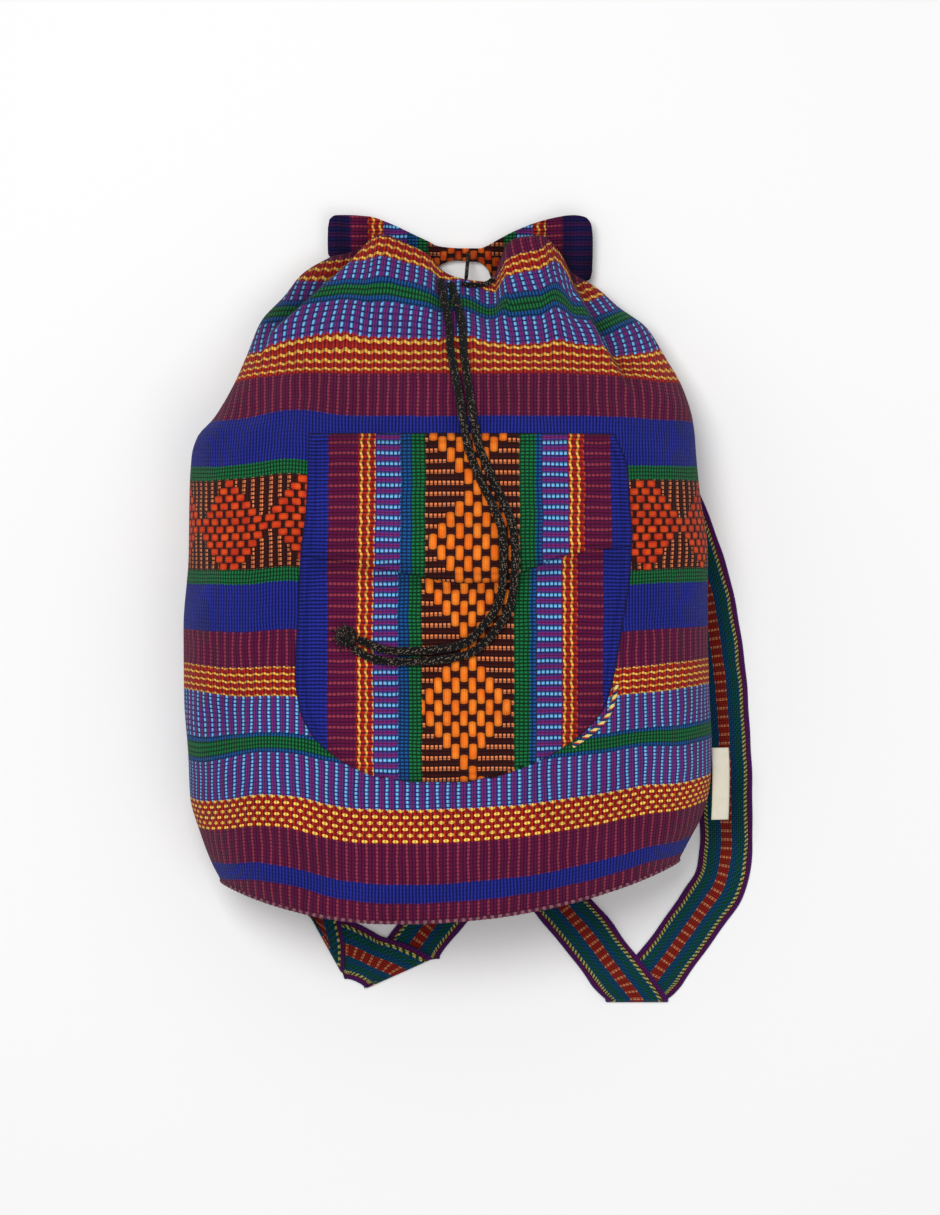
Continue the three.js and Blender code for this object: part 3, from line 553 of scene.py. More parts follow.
def body_points(along, turn):
    """Points of the body's outer face; turn is 0 at the middle of the front and 180 at the back."""
    left, right, top, back, belt = section(along)
    angle = np.radians(turn)
    sine, cosine = np.sin(angle), np.cos(angle)
    x = np.sign(sine) * np.abs(sine) ** (2 / ROUNDNESS) * np.where(sine < 0, left, right)
    high = np.abs(cosine) ** (2 / ROUNDNESS)
    y = body_y(along, x, ease(cosine, -0.5, 0.1))
    under = np.maximum(back, belt - (belt - back) * BACK_SAG * high)
    over = belt + (top - belt - fold_drop(x, along)) * high
    return np.stack([x, y, np.where(cosine < 0, under, over)], axis=-1)


def ripple(points, size):
    """Small rises and falls of slack cloth, fading out near the floor."""
    rise = np.zeros(points.shape[:-1])
    for length_x, length_y, phase, share in RIPPLES:
        rise += share * np.sin(2 * np.pi * (points[..., 0] / length_x + points[..., 1] / length_y) + phase)
    return rise * size / MM * ease(points[..., 2], 25, 60)


def new_mesh(name, points, faces, corners, shade=None):
    """A mesh object at the origin, in millimetres: points, weave coordinates of the corners, and shade."""
    mesh = bpy.data.meshes.new(name)
    mesh.from_pydata([tuple(p) for p in np.asarray(points) * MM], [], faces)
    if shade is not None:
        crease = mesh.attributes.new("crease", "FLOAT", "POINT")
        crease.data.foreach_set("value", np.asarray(shade, float).ravel())
    layer = mesh.uv_layers.new(name="weave")
    layer.data.foreach_set("uv", (np.asarray(corners, float) * MM).ravel())
    mesh.validate()
    mesh.update()
    piece = bpy.data.objects.new(name, mesh)
    bpy.context.scene.collection.objects.link(piece)
    return piece


def grid_mesh(name, points, weave, closed=False, shade=None):
    """A sheet from a grid of points; weave has one column more than points where the sheet is closed."""
    rows, columns = points.shape[:2]
    faces, corners = [], []
    for j in range(rows - 1):
        for k in range(columns if closed else columns - 1):
            n = (k + 1) % columns
            faces.append((j * columns + k, j * columns + n, (j + 1) * columns + n, (j + 1) * columns + k))
            corners += [weave[j, k], weave[j, k + 1], weave[j + 1, k + 1], weave[j + 1, k]]
    return new_mesh(name, points.reshape(-1, 3), faces, corners, shade)


def finish(piece, material, nodes):
    """Gives a piece its material, its body and the solids that it stands for."""
    piece.data.materials.clear()
    piece.data.materials.append(material)
    piece.data.shade_smooth()
    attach(piece, "root")
    if nodes:
        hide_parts(*nodes)


def thicken(piece, thickness, offset=-1):
    """Gives a sheet its wall."""
    select(piece)
    wall = piece.modifiers.new("Wall", "SOLIDIFY")
    wall.thickness = thickness * MM
    wall.offset = offset
    bpy.ops.object.modifier_apply(modifier=wall.name)


def select(piece):
    """Makes a piece the only selected and the active object."""
    bpy.ops.object.select_all(action="DESELECT")
    piece.select_set(True)
    bpy.context.view_layer.objects.active = piece


class Value:
    """A number or a colour that nodes work out; numbers are joined with the usual signs."""

    def __init__(self, shader, socket):
        self.shader = shader
        self.socket = socket

    def __add__(self, other):
        return self.shader.math("ADD", self, other)

    def __sub__(self, other):
        return self.shader.math("SUBTRACT", self, other)

    def __rsub__(self, other):
        return self.shader.math("SUBTRACT", other, self)

    def __mul__(self, other):
        return self.shader.math("MULTIPLY", self, other)

    def __truediv__(self, other):
        return self.shader.math("DIVIDE", self, other)

    def __mod__(self, other):
        return self.shader.math("FLOORED_MODULO", self, other)

    def __pow__(self, other):
        return self.shader.math("POWER", self, other)

    def __gt__(self, other):
        return self.shader.math("GREATER_THAN", self, other)

    def __lt__(self, other):
        return self.shader.math("LESS_THAN", self, other)

    def __abs__(self):
        return self.shader.math("ABSOLUTE", self)


class Shader:
    """Adds nodes to a material and joins them."""

    def __init__(self, name):
        self.material = bpy.data.materials.new(name)
        self.material.use_nodes = True
        self.tree = self.material.node_tree
        self.surface = self.tree.nodes["Principled BSDF"]

    def node(self, kind, **settings):
        """A new node with some of its settings given."""
        node = self.tree.nodes.new(f"ShaderNode{kind}")
        for name, value in settings.items():
            setattr(node, name, value)
        return node

    def put(self, socket, value):
        """Links a value to a socket, or sets the socket to a number or a colour."""
        if isinstance(value, Value):
            self.tree.links.new(value.socket, socket)
        elif isinstance(value, tuple):
            socket.default_value = (*value, 1)
        else:
            socket.default_value = value

    def math(self, operation, *values):
        node = self.node("Math", operation=operation)
        for socket, value in zip(node.inputs, values):
            self.put(socket, value)
        return Value(self, node.outputs[0])

    def mix(self, share, a, b, blend="MIX"):
        """Goes from one colour to another."""
        node = self.node("Mix", data_type="RGBA", blend_type=blend)
        for k, value in ((0, share), (6, a), (7, b)):
            self.put(node.inputs[k], value)
        return Value(self, node.outputs[2])

    def tint(self, colour, value):
        """Darkens a colour by a number."""
        grey = self.node("CombineColor")
        for socket in grey.inputs:
            self.put(socket, value)
        return self.mix(1.0, colour, Value(self, grey.outputs[0]), "MULTIPLY")

    def weave(self):
        """Places along and across the weave, in millimetres."""
        node = self.node("UVMap", uv_map="weave")
        split = self.node("SeparateXYZ")
        self.tree.links.new(node.outputs[0], split.inputs[0])
        return [Value(self, split.outputs[k]) * (1 / MM) for k in (0, 1)]

    def noise(self, scale, detail=2.0):
        node = self.node("TexNoise")
        node.inputs["Scale"].default_value = scale
        node.inputs["Detail"].default_value = detail
        self.tree.links.new(self.node("TexCoord").outputs["Object"], node.inputs["Vector"])
        return Value(self, node.outputs["Fac"])

    def range(self, value, low, high):
        """1 between two limits and 0 outside them."""
        return (value > low) * (value < high)

    def phase(self, value, period):
        return self.math("FRACT", value / period)

    def wave(self, value, period):
        return self.math("SINE", value * (2 * math.pi / period))

    def ramp(self, value, low, high):
        node = self.node("MapRange")
        self.put(node.inputs["Value"], value)
        node.inputs["From Min"].default_value = low
        node.inputs["From Max"].default_value = high
        return Value(self, node.outputs["Result"])

    def crease(self):
        """The painted shade that was worked out for each point of the mesh."""
        return Value(self, self.node("Attribute", attribute_name="crease").outputs["Fac"])

    def cell(self, a, b):
        """A fixed random number for each square of a grid."""
        join = self.node("CombineXYZ")
        for socket, value in zip(join.inputs, (a, b)):
            self.put(socket, self.math("FLOOR", value))
        node = self.node("TexWhiteNoise", noise_dimensions="2D")
        self.tree.links.new(join.outputs[0], node.inputs["Vector"])
        return Value(self, node.outputs["Value"])

    def bump(self, height, depth):
        node = self.node("Bump")
        node.inputs["Distance"].default_value = depth
        self.put(node.inputs["Height"], height)
        self.tree.links.new(node.outputs[0], self.surface.inputs["Normal"])

    def cloth(self, colour, roughness=0.9, sheen=0.04):
        self.put(self.surface.inputs["Base Color"], colour)
        self.surface.inputs["Roughness"].default_value = roughness
        self.surface.inputs["Sheen Weight"].default_value = sheen
        self.surface.inputs["Sheen Roughness"].default_value = 0.5
        self.surface.inputs["Specular IOR Level"].default_value = 0.12


def yarn(name):
    """The colour of a yarn."""
    return tuple(getattr(bpy.context.scene.backpack_yarns, name))


def woven_cloth(name, stripes, pattern, group_length=RIB_GROUP, thread_length=THREAD):
    """Striped hand-woven cloth: u runs along the stripes and v across them, both in millimetres.

    pattern names the row of the brocade's table.
    """
    s = Shader(name)
    u, v = s.weave()
    v = v + (s.noise(38.0) - 0.5) * 2.2
    u = u + (s.noise(55.0) - 0.5) * 1.6
    group = s.phase(u, group_length)
    thread = s.phase(v, thread_length)
    dash = s.range(thread, 0.14, 0.8)
    fine = s.range(s.phase(u, group_length / 3), 0.25, 0.8)
    ground = flame_ground(s, u, group_length)

    kinds = {
        "maroon": s.mix(s.range(group, 0.04, 0.32) * (thread > 0.2), yarn("maroon"), yarn("rose")),
        "navy": s.mix(s.range(group, 0.1, 0.5) * 0.3, yarn("navy"), yarn("maroon")),
        "lilac": lilac_stripe(s, group, dash),
        "flame": s.mix(flame_rows(s, u, v, group_length), ground, yarn("yellow")),
        "sparks": s.mix(spark_rows(s, u, v, group_length), ground, yarn("yellow")),
    }
    beads = fine * dash
    for kind, gain, where in (("blue", 1.7, fine), ("green", 2.6, beads), ("teal", 2.2, beads)):
        fleck = tuple(min(1, gain * c + 0.003) for c in yarn(kind))
        kinds[kind] = s.mix(where, yarn(kind), fleck)
    low, high = brocade_span(stripes)
    kinds["brocade"], brick, float_height_and_shade = brocade(s, u, v, (low, high), pattern, group_length)

    colour = kinds[stripes[0][1]]
    wobble = v + s.wave(u, group_length / 2) * 0.35
    for (edge, _), (_, kind) in zip(stripes, stripes[1:]):
        colour = s.mix(wobble > edge, colour, kinds[kind])
    for (start, before), (end, kind) in zip(stripes, stripes[1:]):
        if kind == "green" and before == "lilac":
            inner = s.range(wobble, start + TEAL_BORDER, end - TEAL_BORDER)
            colour = s.mix(s.range(wobble, start, end) * (1 - inner), colour, kinds["teal"])

    bricks = brick * s.range(v, low, high)
    flat = 1 - bricks
    crest = abs(s.wave(u, group_length / 1.5))
    bead = abs(s.wave(v, thread_length * 2))
    worn = s.noise(26.0, 4.0) * 0.52 + 0.74
    fuzz = s.noise(2200.0, 1.0) * 0.5 + 0.75
    # painted shade in the grooves between ribs and between threads; the same crests and beads are also the
    # bump
    ribs = (crest * 0.75 + 0.35) * (bead * 0.36 + 0.72)
    # painted shade from the mesh: past the pleats, along the pocket's rims, and on the mouth flap near the
    # rim and between its gathers
    dark = 1 - s.crease() * 0.88
    s.cloth(s.tint(colour, worn * fuzz * (ribs * flat + bricks) * dark))
    s.bump(crest * flat * (bead * 0.5 + 0.5) + float_height_and_shade * bricks, bpy.context.scene.backpack_sizes.rib)
    return s.material


def lilac_stripe(s, group, dash):
    """Purple ground with a dotted rib of sky blue and a beaded rib of magenta in each group."""
    magenta = s.range(group, 0.52, 0.8) * (dash * 0.5 + 0.5)
    ground = s.mix(magenta, yarn("purple"), yarn("magenta"))
    return s.mix(s.range(group, 0.04, 0.36) * dash, ground, yarn("sky"))


def flame_ground(s, u, group_length):
    """Ribs of brick red and crimson by turns."""
    return s.mix(s.range(s.phase(u, group_length / 2), 0.1, 0.5), yarn("brick"), yarn("crimson"))


def flame_rows(s, u, v, group_length):
    """Thin wavy rows, brightest on their crests."""
    row = s.math("FRACT", v / FLAME_ROW + s.wave(u, group_length) * 0.1)
    lit = s.wave(u + 1.5, group_length) * 0.5 + 0.5
    return s.range(row, 0.36, 0.66) * (lit * 0.65 + 0.35)


def spark_rows(s, u, v, group_length):
    """Rows of short dashes, each row half a step on from the last."""
    number = s.math("FLOOR", v / SPARK_ROW)
    along = s.math("FRACT", u / group_length + number % 2.0 * 0.5)
    off = abs(along - 0.5) * 3.4
    up = abs(s.phase(v, SPARK_ROW) - 0.5) * 3.6
    return off**2.0 + up**2.0 < 1.0


def brocade(s, u, v, span, pattern, group_length):
    """Rows of raised floats that widen and narrow into diamonds, on a dark ground with dotted ribs."""
    low, high = span
    dark_yarn, light_yarn, step, row, diamond, middle = BROCADES[pattern]
    number = s.math("FLOOR", v / row)
    half_step = number % 2.0 * 0.5
    brick_u = u / step + half_step
    across = abs(s.math("FRACT", brick_u) - 0.5)
    up = abs(s.phase(v, row) - 0.5)
    centre_u = (s.math("FLOOR", brick_u) + 0.5 - half_step) * step
    centre_v = (number + 0.5) * row
    reach = s.math("PINGPONG", (centre_u - middle) / diamond, 0.5) * (high - low) + 3.0
    inside = abs(centre_v - (low + high) / 2) < reach
    brick = (across + up * up * 0.22 < 0.355) * (up < 0.455) * inside
    dots = s.range(s.phase(u, group_length), 0.22, 0.58) * s.range(s.phase(v, DOT_PITCH), 0.18, 0.82)
    ground = s.mix(dots * (1 - inside), yarn("umber"), yarn("dots"))
    # painted shade in the grooves between the plies of each float
    ply_groove_shade = abs(s.wave(v, 2.6)) * 0.3 + 0.78
    bulge = 1 - (up * 2.1) ** 2.5
    ends = 1 - (across * 2.4) ** 3.0
    # painted highlight on the crown of each float and painted shade at its sides and ends; the same numbers
    # are the floats' bump height
    float_height_and_shade = (bulge * 0.65 + 0.35) * (ends * 0.7 + 0.3)
    tone = s.mix(s.ramp(s.noise(160.0, 3.0), 0.35, 0.65), yarn(dark_yarn), yarn(light_yarn))
    return s.mix(brick, ground, s.tint(tone, float_height_and_shade * ply_groove_shade)), brick, float_height_and_shade


def brocade_span(stripes):
    """Lower and upper edge of the brocade stripe."""
    for (low, _), (high, kind) in zip(stripes, stripes[1:]):
        if kind == "brocade":
            return low, high
    raise ValueError("no brocade stripe")


def webbing_cloth():
    """Narrow band with a ladder of brick red and light rungs in the middle."""
    s = Shader("webbing")
    u, v = s.weave()
    off = abs(v + (s.noise(60.0) - 0.5) * 1.6)
    edge = STRAP_WIDTH / 2
    rungs = s.range(s.phase(u, RUNG), 0.34, 0.62) * s.range(s.phase(v, 2.1), 0.15, 0.85)
    colour = s.mix(rungs, s.mix(0.5, yarn("brick"), yarn("umber")), yarn("rung"))
    mottling = s.range(s.phase(u + v, 3.1), 0.3, 0.7)
    twist = s.range(s.phase(u + off * 0.7, 2.7), 0.25, 0.75)
    tones = {
        "teal": s.mix(mottling, yarn("teal"), yarn("petrol")),
        "green": s.mix(mottling, yarn("green"), yarn("petrol")),
        "yellow": s.mix(twist, yarn("green"), yarn("straw")),
        "maroon": s.mix(s.ramp(off, 0.82 * edge, 0.95 * edge), yarn("maroon"), yarn("plum")),
    }
    for inner, name in WEBBING_STRIPES:
        colour = s.mix(off > inner * edge, colour, tones[name])
    # the weave's crossings, as bump and as painted shade in the grooves between them
    weave = abs(s.wave(u, 3.0)) * abs(s.wave(v, 2.6))
    s.cloth(s.tint(colour, (weave * 0.9 + 0.45) * (s.noise(1500.0) * 0.6 + 0.7)))
    s.bump(weave, 0.5 * MM)
    return s.material


def braided_yarn(name, flecked_from):
    """Black braid with grey flecks from a place along it, in millimetres; u runs along it, v round it."""
    s = Shader(name)
    u, v = s.weave()
    right = u + v
    left = u - v
    strands = [s.math("PINGPONG", s.phase(way, BRAID), 0.5) for way in (right, left)]
    share = s.ramp(u, flecked_from, flecked_from + 60) * -0.075 + 0.95
    tone = s.mix(s.noise(400.0), yarn("fleck"), yarn("umber"))
    s.cloth(s.mix(s.cell(right / 1.1, left / 0.8) > share, yarn("cord"), tone), roughness=0.75)
    s.bump(s.math("MINIMUM", *strands), 0.9 * MM)
    return s.material


def body_sheet():
    """The body's outer face as a grid, with the weave's coordinates."""
    below, neck, front, back = BODY_GRID
    along = np.concatenate([np.linspace(0, NECK_FROM, below), np.linspace(NECK_FROM, 1, neck)[1:]])
    front = np.linspace(-90, 90, front)
    back = np.linspace(90, 270, back)[1:-1]
    turn = np.concatenate([front, back])
    points = body_points(along[:, None], turn[None, :])
    facing = np.cos(np.radians(turn))
    points[..., 2] += ripple(points, bpy.context.scene.backpack_sizes.ripple) * ease(facing, 0, 0.25)
    middle = int(np.argmin(np.abs(turn)))
    loop = np.concatenate([points, points[:, :1]], axis=1)
    lengths = np.linalg.norm(np.diff(loop, axis=1), axis=2)
    u = np.concatenate([np.zeros((len(along), 1)), np.cumsum(lengths, axis=1)], axis=1)
    u -= u[:, middle : middle + 1]
    level = along[:, None] * BODY_LENGTH + stripe_shift(loop[..., 0], along[:, None])
    shade = pleat_shade(points[..., 0], along[:, None]) * ease(facing, 0, 0.1)
    return points, stacked(u, level), shade


def stripe_shift(x, along):
    """How the stripes wander off level, in millimetres: unevenly at the neck, and apart at the pleats."""
    (west, _), (east, _) = past_pleats(x, along)
    inner = curve(WANDER, 1, x) * ease(along, 0.85, 0.93)
    inner = inner + (curve(WANDER, 2, x) - curve(WANDER, 1, x)) * ease(along, 0.93, 1)
    outer_west = 2 * ease(along, 0.84, 0.93)
    outer_east = (8 - 13 * np.clip(east / 40, 0, 1)) * ease(along, 0.82, 0.9)
    shift = inner + (outer_west - inner) * ease(west, 0, PLEAT_LIP)
    shift = shift + (outer_east - inner) * ease(east, 0, PLEAT_LIP)
    sag = 5 * ease(np.abs(x), 90, 150) * ease(along, 0.72, 0.85) * (1 - ease(along, 0.88, 0.93))
    low = (14 * ease(-x, 112, 158) + 6 * ease(x, 118, 150)) * (1 - ease(along, 0.2, 0.33))
    return shift + sag + low - 4 * np.exp(-(((x + 95) / 24) ** 2)) * (1 - ease(along, 0.8, 0.86))


class BACKPACK_OT_camera(bpy.types.Operator):
    """Set up the camera straight above the bag, as it was photographed"""

    bl_idname = "backpack.camera"
    bl_label = "Camera"

    def execute(self, context):
        sizes = context.scene.backpack_sizes
        data = bpy.data.cameras.new("camera")
        data.lens = sizes.lens
        data.sensor_width = CAMERA_FILM
        camera = bpy.data.objects.new("camera", data)
        camera.location = (*CAMERA_PLACE, sizes.camera_height)
        context.scene.collection.objects.link(camera)
        context.scene.camera = camera
        return {"FINISHED"}


def smooth_route(points, steps):
    """A centripetal curve through given points."""
    points = [Vector(p) for p in points]
    line = [2 * points[0] - points[1], *points, 2 * points[-1] - points[-2]]
    out = []
    for k in range(1, len(line) - 2):
        p0, p1, p2, p3 = line[k - 1 : k + 3]
        knots = [0.0]
        for a, b in ((p0, p1), (p1, p2), (p2, p3)):
            knots.append(knots[-1] + math.sqrt((b - a).length))
        t0, t1, t2, t3 = knots
        for j in range(steps):
            t = t1 + (t2 - t1) * j / steps
            a1 = p0 * ((t1 - t) / (t1 - t0)) + p1 * ((t - t0) / (t1 - t0))
            a2 = p1 * ((t2 - t) / (t2 - t1)) + p2 * ((t - t1) / (t2 - t1))
            a3 = p2 * ((t3 - t) / (t3 - t2)) + p3 * ((t - t2) / (t3 - t2))
            b1 = a1 * ((t2 - t) / (t2 - t0)) + a2 * ((t - t0) / (t2 - t0))
            b2 = a2 * ((t3 - t) / (t3 - t1)) + a3 * ((t - t1) / (t3 - t1))
            out.append(b1 * ((t2 - t) / (t2 - t1)) + b2 * ((t - t1) / (t2 - t1)))
    out.append(points[-1])
    return out


def run_along(points):
    """How far each point lies along a line."""
    return np.concatenate([[0], np.cumsum(np.linalg.norm(np.diff(points, axis=0), axis=1))])


def evenly(points, step):
    """The same line with points at even distances."""
    spots = np.array([tuple(p) for p in points])
    run = run_along(spots)
    at = np.linspace(0, run[-1], max(2, round(run[-1] / step) + 1))
    return np.stack([np.interp(at, run, spots[:, c]) for c in range(3)], axis=-1), at


def stacked(a, b):
    """Pairs of values on a grid."""
    return np.stack(np.broadcast_arrays(a, b), axis=-1)


def rings(line, ahead, axis, radius):
    """Rings round a line; radius has a row for each of its points and a column for each side."""
    angle = np.linspace(0, 2 * np.pi, radius.shape[1], endpoint=False)[:, None]
    ahead = ahead / np.linalg.norm(ahead, axis=1)[:, None]
    side = np.cross(ahead, axis)
    side /= np.linalg.norm(side, axis=1)[:, None]
    up = np.cross(side, ahead)
    return line[:, None] + radius[..., None] * (np.cos(angle) * side[:, None] + np.sin(angle) * up[:, None])


def cord_tube(name, route, diameter, sides=20, step=0.0008, braid=0.0):
    """A round cord as a mesh tube with closed ends, its strands standing out by a share of the radius."""
    line, run = evenly(smooth_route(route, 16), step)
    across = np.linspace(0, np.pi * diameter, sides, endpoint=False)
    strands = [np.abs(np.sin((run[:, None] + way * across) * np.pi / (BRAID * MM))) for way in (1, -1)]
    radius = diameter / 2 * (1 - braid + braid * strands[0] * strands[1])
    tube = rings(line, np.gradient(line, axis=0), (0.0, 0.0, 1.0), radius)
    weave = stacked(run[:, None], np.append(across, np.pi * diameter)) / MM
    piece = grid_mesh(name, tube / MM, weave, closed=True)
    cap_ends(piece)
    return piece, line


def cap_ends(piece):
    """Fills a tube's open ends and turns its faces outwards."""
    select(piece)
    bpy.ops.object.mode_set(mode="EDIT")
    bpy.ops.mesh.select_all(action="DESELECT")
    bpy.ops.mesh.select_mode(type="EDGE")
    bpy.ops.mesh.select_non_manifold()
    bpy.ops.mesh.edge_face_add()
    turn_outwards()


def turn_outwards():
    """Turns all faces of the mesh in edit mode outwards and leaves edit mode."""
    bpy.ops.mesh.select_all(action="SELECT")
    bpy.ops.mesh.normals_make_consistent(inside=False)
    bpy.ops.object.mode_set(mode="OBJECT")


# Frayed yarn ends at the knot: direction in degrees, length in metres, rise
FRAYS = [
    (95, 0.0035, 0.1), (125, 0.003, 0.25), (150, 0.0045, -0.1), (172, 0.003, 0.2), (190, 0.005, -0.15),
    (212, 0.0035, 0.1), (235, 0.0045, -0.2), (262, 0.003, 0.1), (285, 0.0035, -0.1),
]


class BACKPACK_OT_drawstring(bpy.types.Operator):
    """Lay the two braided strands, their knot, the gather along the rim and the tie"""

    bl_idname = "backpack.drawstring"
    bl_label = "Drawstring"

    def execute(self, context):
        braid = braided_yarn("braided cord", 60)
        thin = braided_yarn("thin cord", 400)
        knot = self.knot()
        finish(knot, braided_yarn("knotted cord", 0), ("drawstring_knot",))
        for name, route in (("drawstring_a", STRAND_A_ROUTE), ("drawstring_b", STRAND_B_ROUTE)):
            strand, line = cord_tube(f"{name}_braid", route, CORD_DIAMETER, braid=0.16)
            finish(strand, braid, (name,))
        gather, _ = cord_tube("gathered_cord", GATHER_ROUTE, GATHER_DIAMETER, sides=12)
        finish(gather, thin, ("drawstring_gather",))
        tie, _ = cord_tube("mouth_tie_cord", TIE_ROUTE, TIE_DIAMETER, sides=12)
        finish(tie, thin, ("mouth_tie",))
        return {"FINISHED"}

    def knot(self):
        """A ball of crossing turns with frayed ends."""
        bpy.ops.mesh.primitive_uv_sphere_add(segments=48, ring_count=32, radius=0.5)
        knot = bpy.context.object
        knot.name = "drawstring_end_knot"
        size = Vector(KNOT_SIZE)
        centre = Vector(KNOT_CENTRE)
        for vertex in knot.data.vertices:
            p = vertex.co.normalized()
            turns = math.sin(7 * p.x + 5 * p.y) * math.sin(6 * p.y - 5 * p.z + 1)
            turns *= math.sin(6 * p.z + 4 * p.x + 2)
            vertex.co = p * (0.45 + 0.05 * abs(turns) ** 0.4) * size + centre
        layer = knot.data.uv_layers.active
        layer.name = "weave"
        for loop in layer.data:
            loop.uv = (loop.uv[0] * 0.04, loop.uv[1] * 0.02)
        tufts = []
        for turn, length, rise in FRAYS:
            way = Vector((math.cos(math.radians(turn)), math.sin(math.radians(turn)), rise))
            bend = Vector((-way.y, way.x, -0.6)) * 0.25
            route = [
                centre + way * FRAY_START,
                centre + (way + bend * 0.4) * (FRAY_START + length / 2),
                centre + (way + bend) * (FRAY_START + length),
            ]
            tuft, _ = cord_tube("fray", route, FRAY_DIAMETER, sides=6, step=0.0006)
            tufts.append(tuft)
        select(knot)
        for tuft in tufts:
            tuft.select_set(True)
        bpy.ops.object.join()
        return knot


class BACKPACK_OT_body(bpy.types.Operator):
    """Make the woven body, its base panel and the welt along the base seam"""

    bl_idname = "backpack.body"
    bl_label = "Body"

    def execute(self, context):
        points, weave, shade = body_sheet()
        body = grid_mesh("woven_body", points, weave, closed=True, shade=shade)
        thicken(body, CLOTH_WALL)
        cloth = woven_cloth("body cloth", BODY_STRIPES, "body")
        finish(body, cloth, ("bag_body",))
        self.base(points)
        self.welt(points)
        return {"FINISHED"}

    def base(self, points):
        """The oval base, pushed out by the filling."""
        ring = points[0]
        middle = ring.mean(axis=0)
        sizes = np.array(BASE_RINGS)
        grid = middle + (ring - middle)[None] * (sizes * BASE_FIT)[:, None, None]
        x = grid[..., 0]
        grid[..., 1] = seam_rise(x) - BODY_LENGTH / 2 + BASE_INSET - BASE_PUSH * (1 - sizes[:, None] ** 2)
        rows, columns = grid.shape[:2]
        faces = []
        for j in range(rows - 1):
            for k in range(columns):
                n = (k + 1) % columns
                faces.append((j * columns + k, (j + 1) * columns + k, (j + 1) * columns + n, j * columns + n))
        centre = grid[-1].mean(axis=0)
        inner = (rows - 1) * columns
        faces += [(rows * columns, inner + (k + 1) % columns, inner + k) for k in range(columns)]
        flat = np.vstack([grid.reshape(-1, 3), centre])
        level = flat[:, 2] * BASE_WEAVE_SHARE + BASE_WEAVE_START
        corners = [(flat[i, 0], level[i]) for face in faces for i in face]
        base = new_mesh("base_panel_cloth", flat, faces, corners)
        thicken(base, CLOTH_WALL)
        cloth = woven_cloth("base cloth", BODY_STRIPES, "body")
        finish(base, cloth, ("base_panel",))

    def welt(self, points):
        """A rolled, whipped edge all along the base seam."""
        ring = (points[0] + (points[1] - points[0]) * 0.3) * MM
        route = ring + (ring.mean(axis=0) - ring) * 0.004
        spots, run = evenly(np.vstack([route, route[:1]]), WELT_STEP * MM)
        spots, run = spots[:-1], run[:-1]
        ahead = np.roll(spots, -1, axis=0) - np.roll(spots, 1, axis=0)
        beads = 1 + WELT_BEADING * np.sin(run / (WELT_BEAD * MM) * 2 * np.pi)
        radius = WELT_RADIUS * MM * beads[:, None] * np.ones(WELT_SIDES)
        tube = rings(spots, ahead, (0.0, 1.0, 0.0), radius)
        rows = len(tube)
        faces, corners = [], []
        for j in range(rows):
            for k in range(WELT_SIDES):
                this, after = j * WELT_SIDES, (j + 1) % rows * WELT_SIDES
                n = (k + 1) % WELT_SIDES
                faces.append((this + k, this + n, after + n, after + k))
                corners += [((j + step) * WELT_STEP, 0) for step in (0, 0, 1, 1)]
        welt = new_mesh("base_welt", tube.reshape(-1, 3) / MM, faces, corners)
        select(welt)
        bpy.ops.object.mode_set(mode="EDIT")
        turn_outwards()
        s = Shader("welt yarn")
        u, _ = s.weave()
        stitch = s.range(s.phase(u + s.noise(90.0) * 2.0, 4.6), 0.1, 0.55)
        thread = s.mix(s.noise(200.0), (0.13, 0.04, 0.06), (0.3, 0.15, 0.16))
        s.cloth(s.mix(stitch, (0.09, 0.012, 0.04), thread))
        s.bump(s.noise(1800.0), 0.2 * MM)
        finish(welt, s.material, ())


def inside_back(x, distance):
    """The height of a sheet that lies a distance inside the back, near the mouth."""
    left, right, _, back, belt = section(1.0)

    def outside(at):
        share = np.minimum(0.97, np.abs(at) / np.where(at < 0, left, right))
        return np.maximum(back, belt - (belt - back) * BACK_SAG * (1 - share**ROUNDNESS) ** (1 / ROUNDNESS))

    slope = (outside(x + 1) - outside(x - 1)) / 2
    return outside(x) + distance * np.sqrt(1 + slope * slope)


class BACKPACK_OT_mouth_flap(bpy.types.Operator):
    """Make the flap that is sewn to the back rim and lies thrown back"""

    bl_idname = "backpack.mouth_flap"
    bl_label = "Mouth flap"

    def execute(self, context):
        share = np.linspace(0, 1, 22)[:, None]
        across = np.sin(np.linspace(-0.5, 0.5, 150) * np.pi)[None, :]
        lower = curve(FLAP_ROWS, 1, across)
        upper = curve(FLAP_ROWS, 2, across)
        x = FLAP_CENTRE_X + across * FLAP_HALF + 0 * share
        y = BODY_LENGTH / 2 + FLAP_REACH * (lower + (upper - lower) * share)
        out = np.maximum(0, (y - BODY_LENGTH / 2) / FLAP_REACH)
        z = inside_back(x, CLOTH_WALL + 2 * CLEARANCE) + FLAP_LIFT * out**2
        z = z + ease(out, 0, 0.2) * (0.5 * np.sin(x / 9.0) + 0.4 * np.sin(x / 2.3 + 2 * share))
        weave = np.stack([y, x - FLAP_CENTRE_X + FLAP_HALF], axis=-1)
        shade = 0.55 * (1 - ease(out, 0.1, 0.7)) + 0.25 * (0.5 + 0.5 * np.sin(x / 2.3))
        flap = grid_mesh("mouth_flap_cloth", np.stack([x, y, z], axis=-1), weave, shade=shade)
        thicken(flap, FLAP_WALL, offset=1)
        cloth = woven_cloth("flap cloth", FLAP_STRIPES, "mouth flap")
        finish(flap, cloth, ("mouth_flap",))
        return {"FINISHED"}


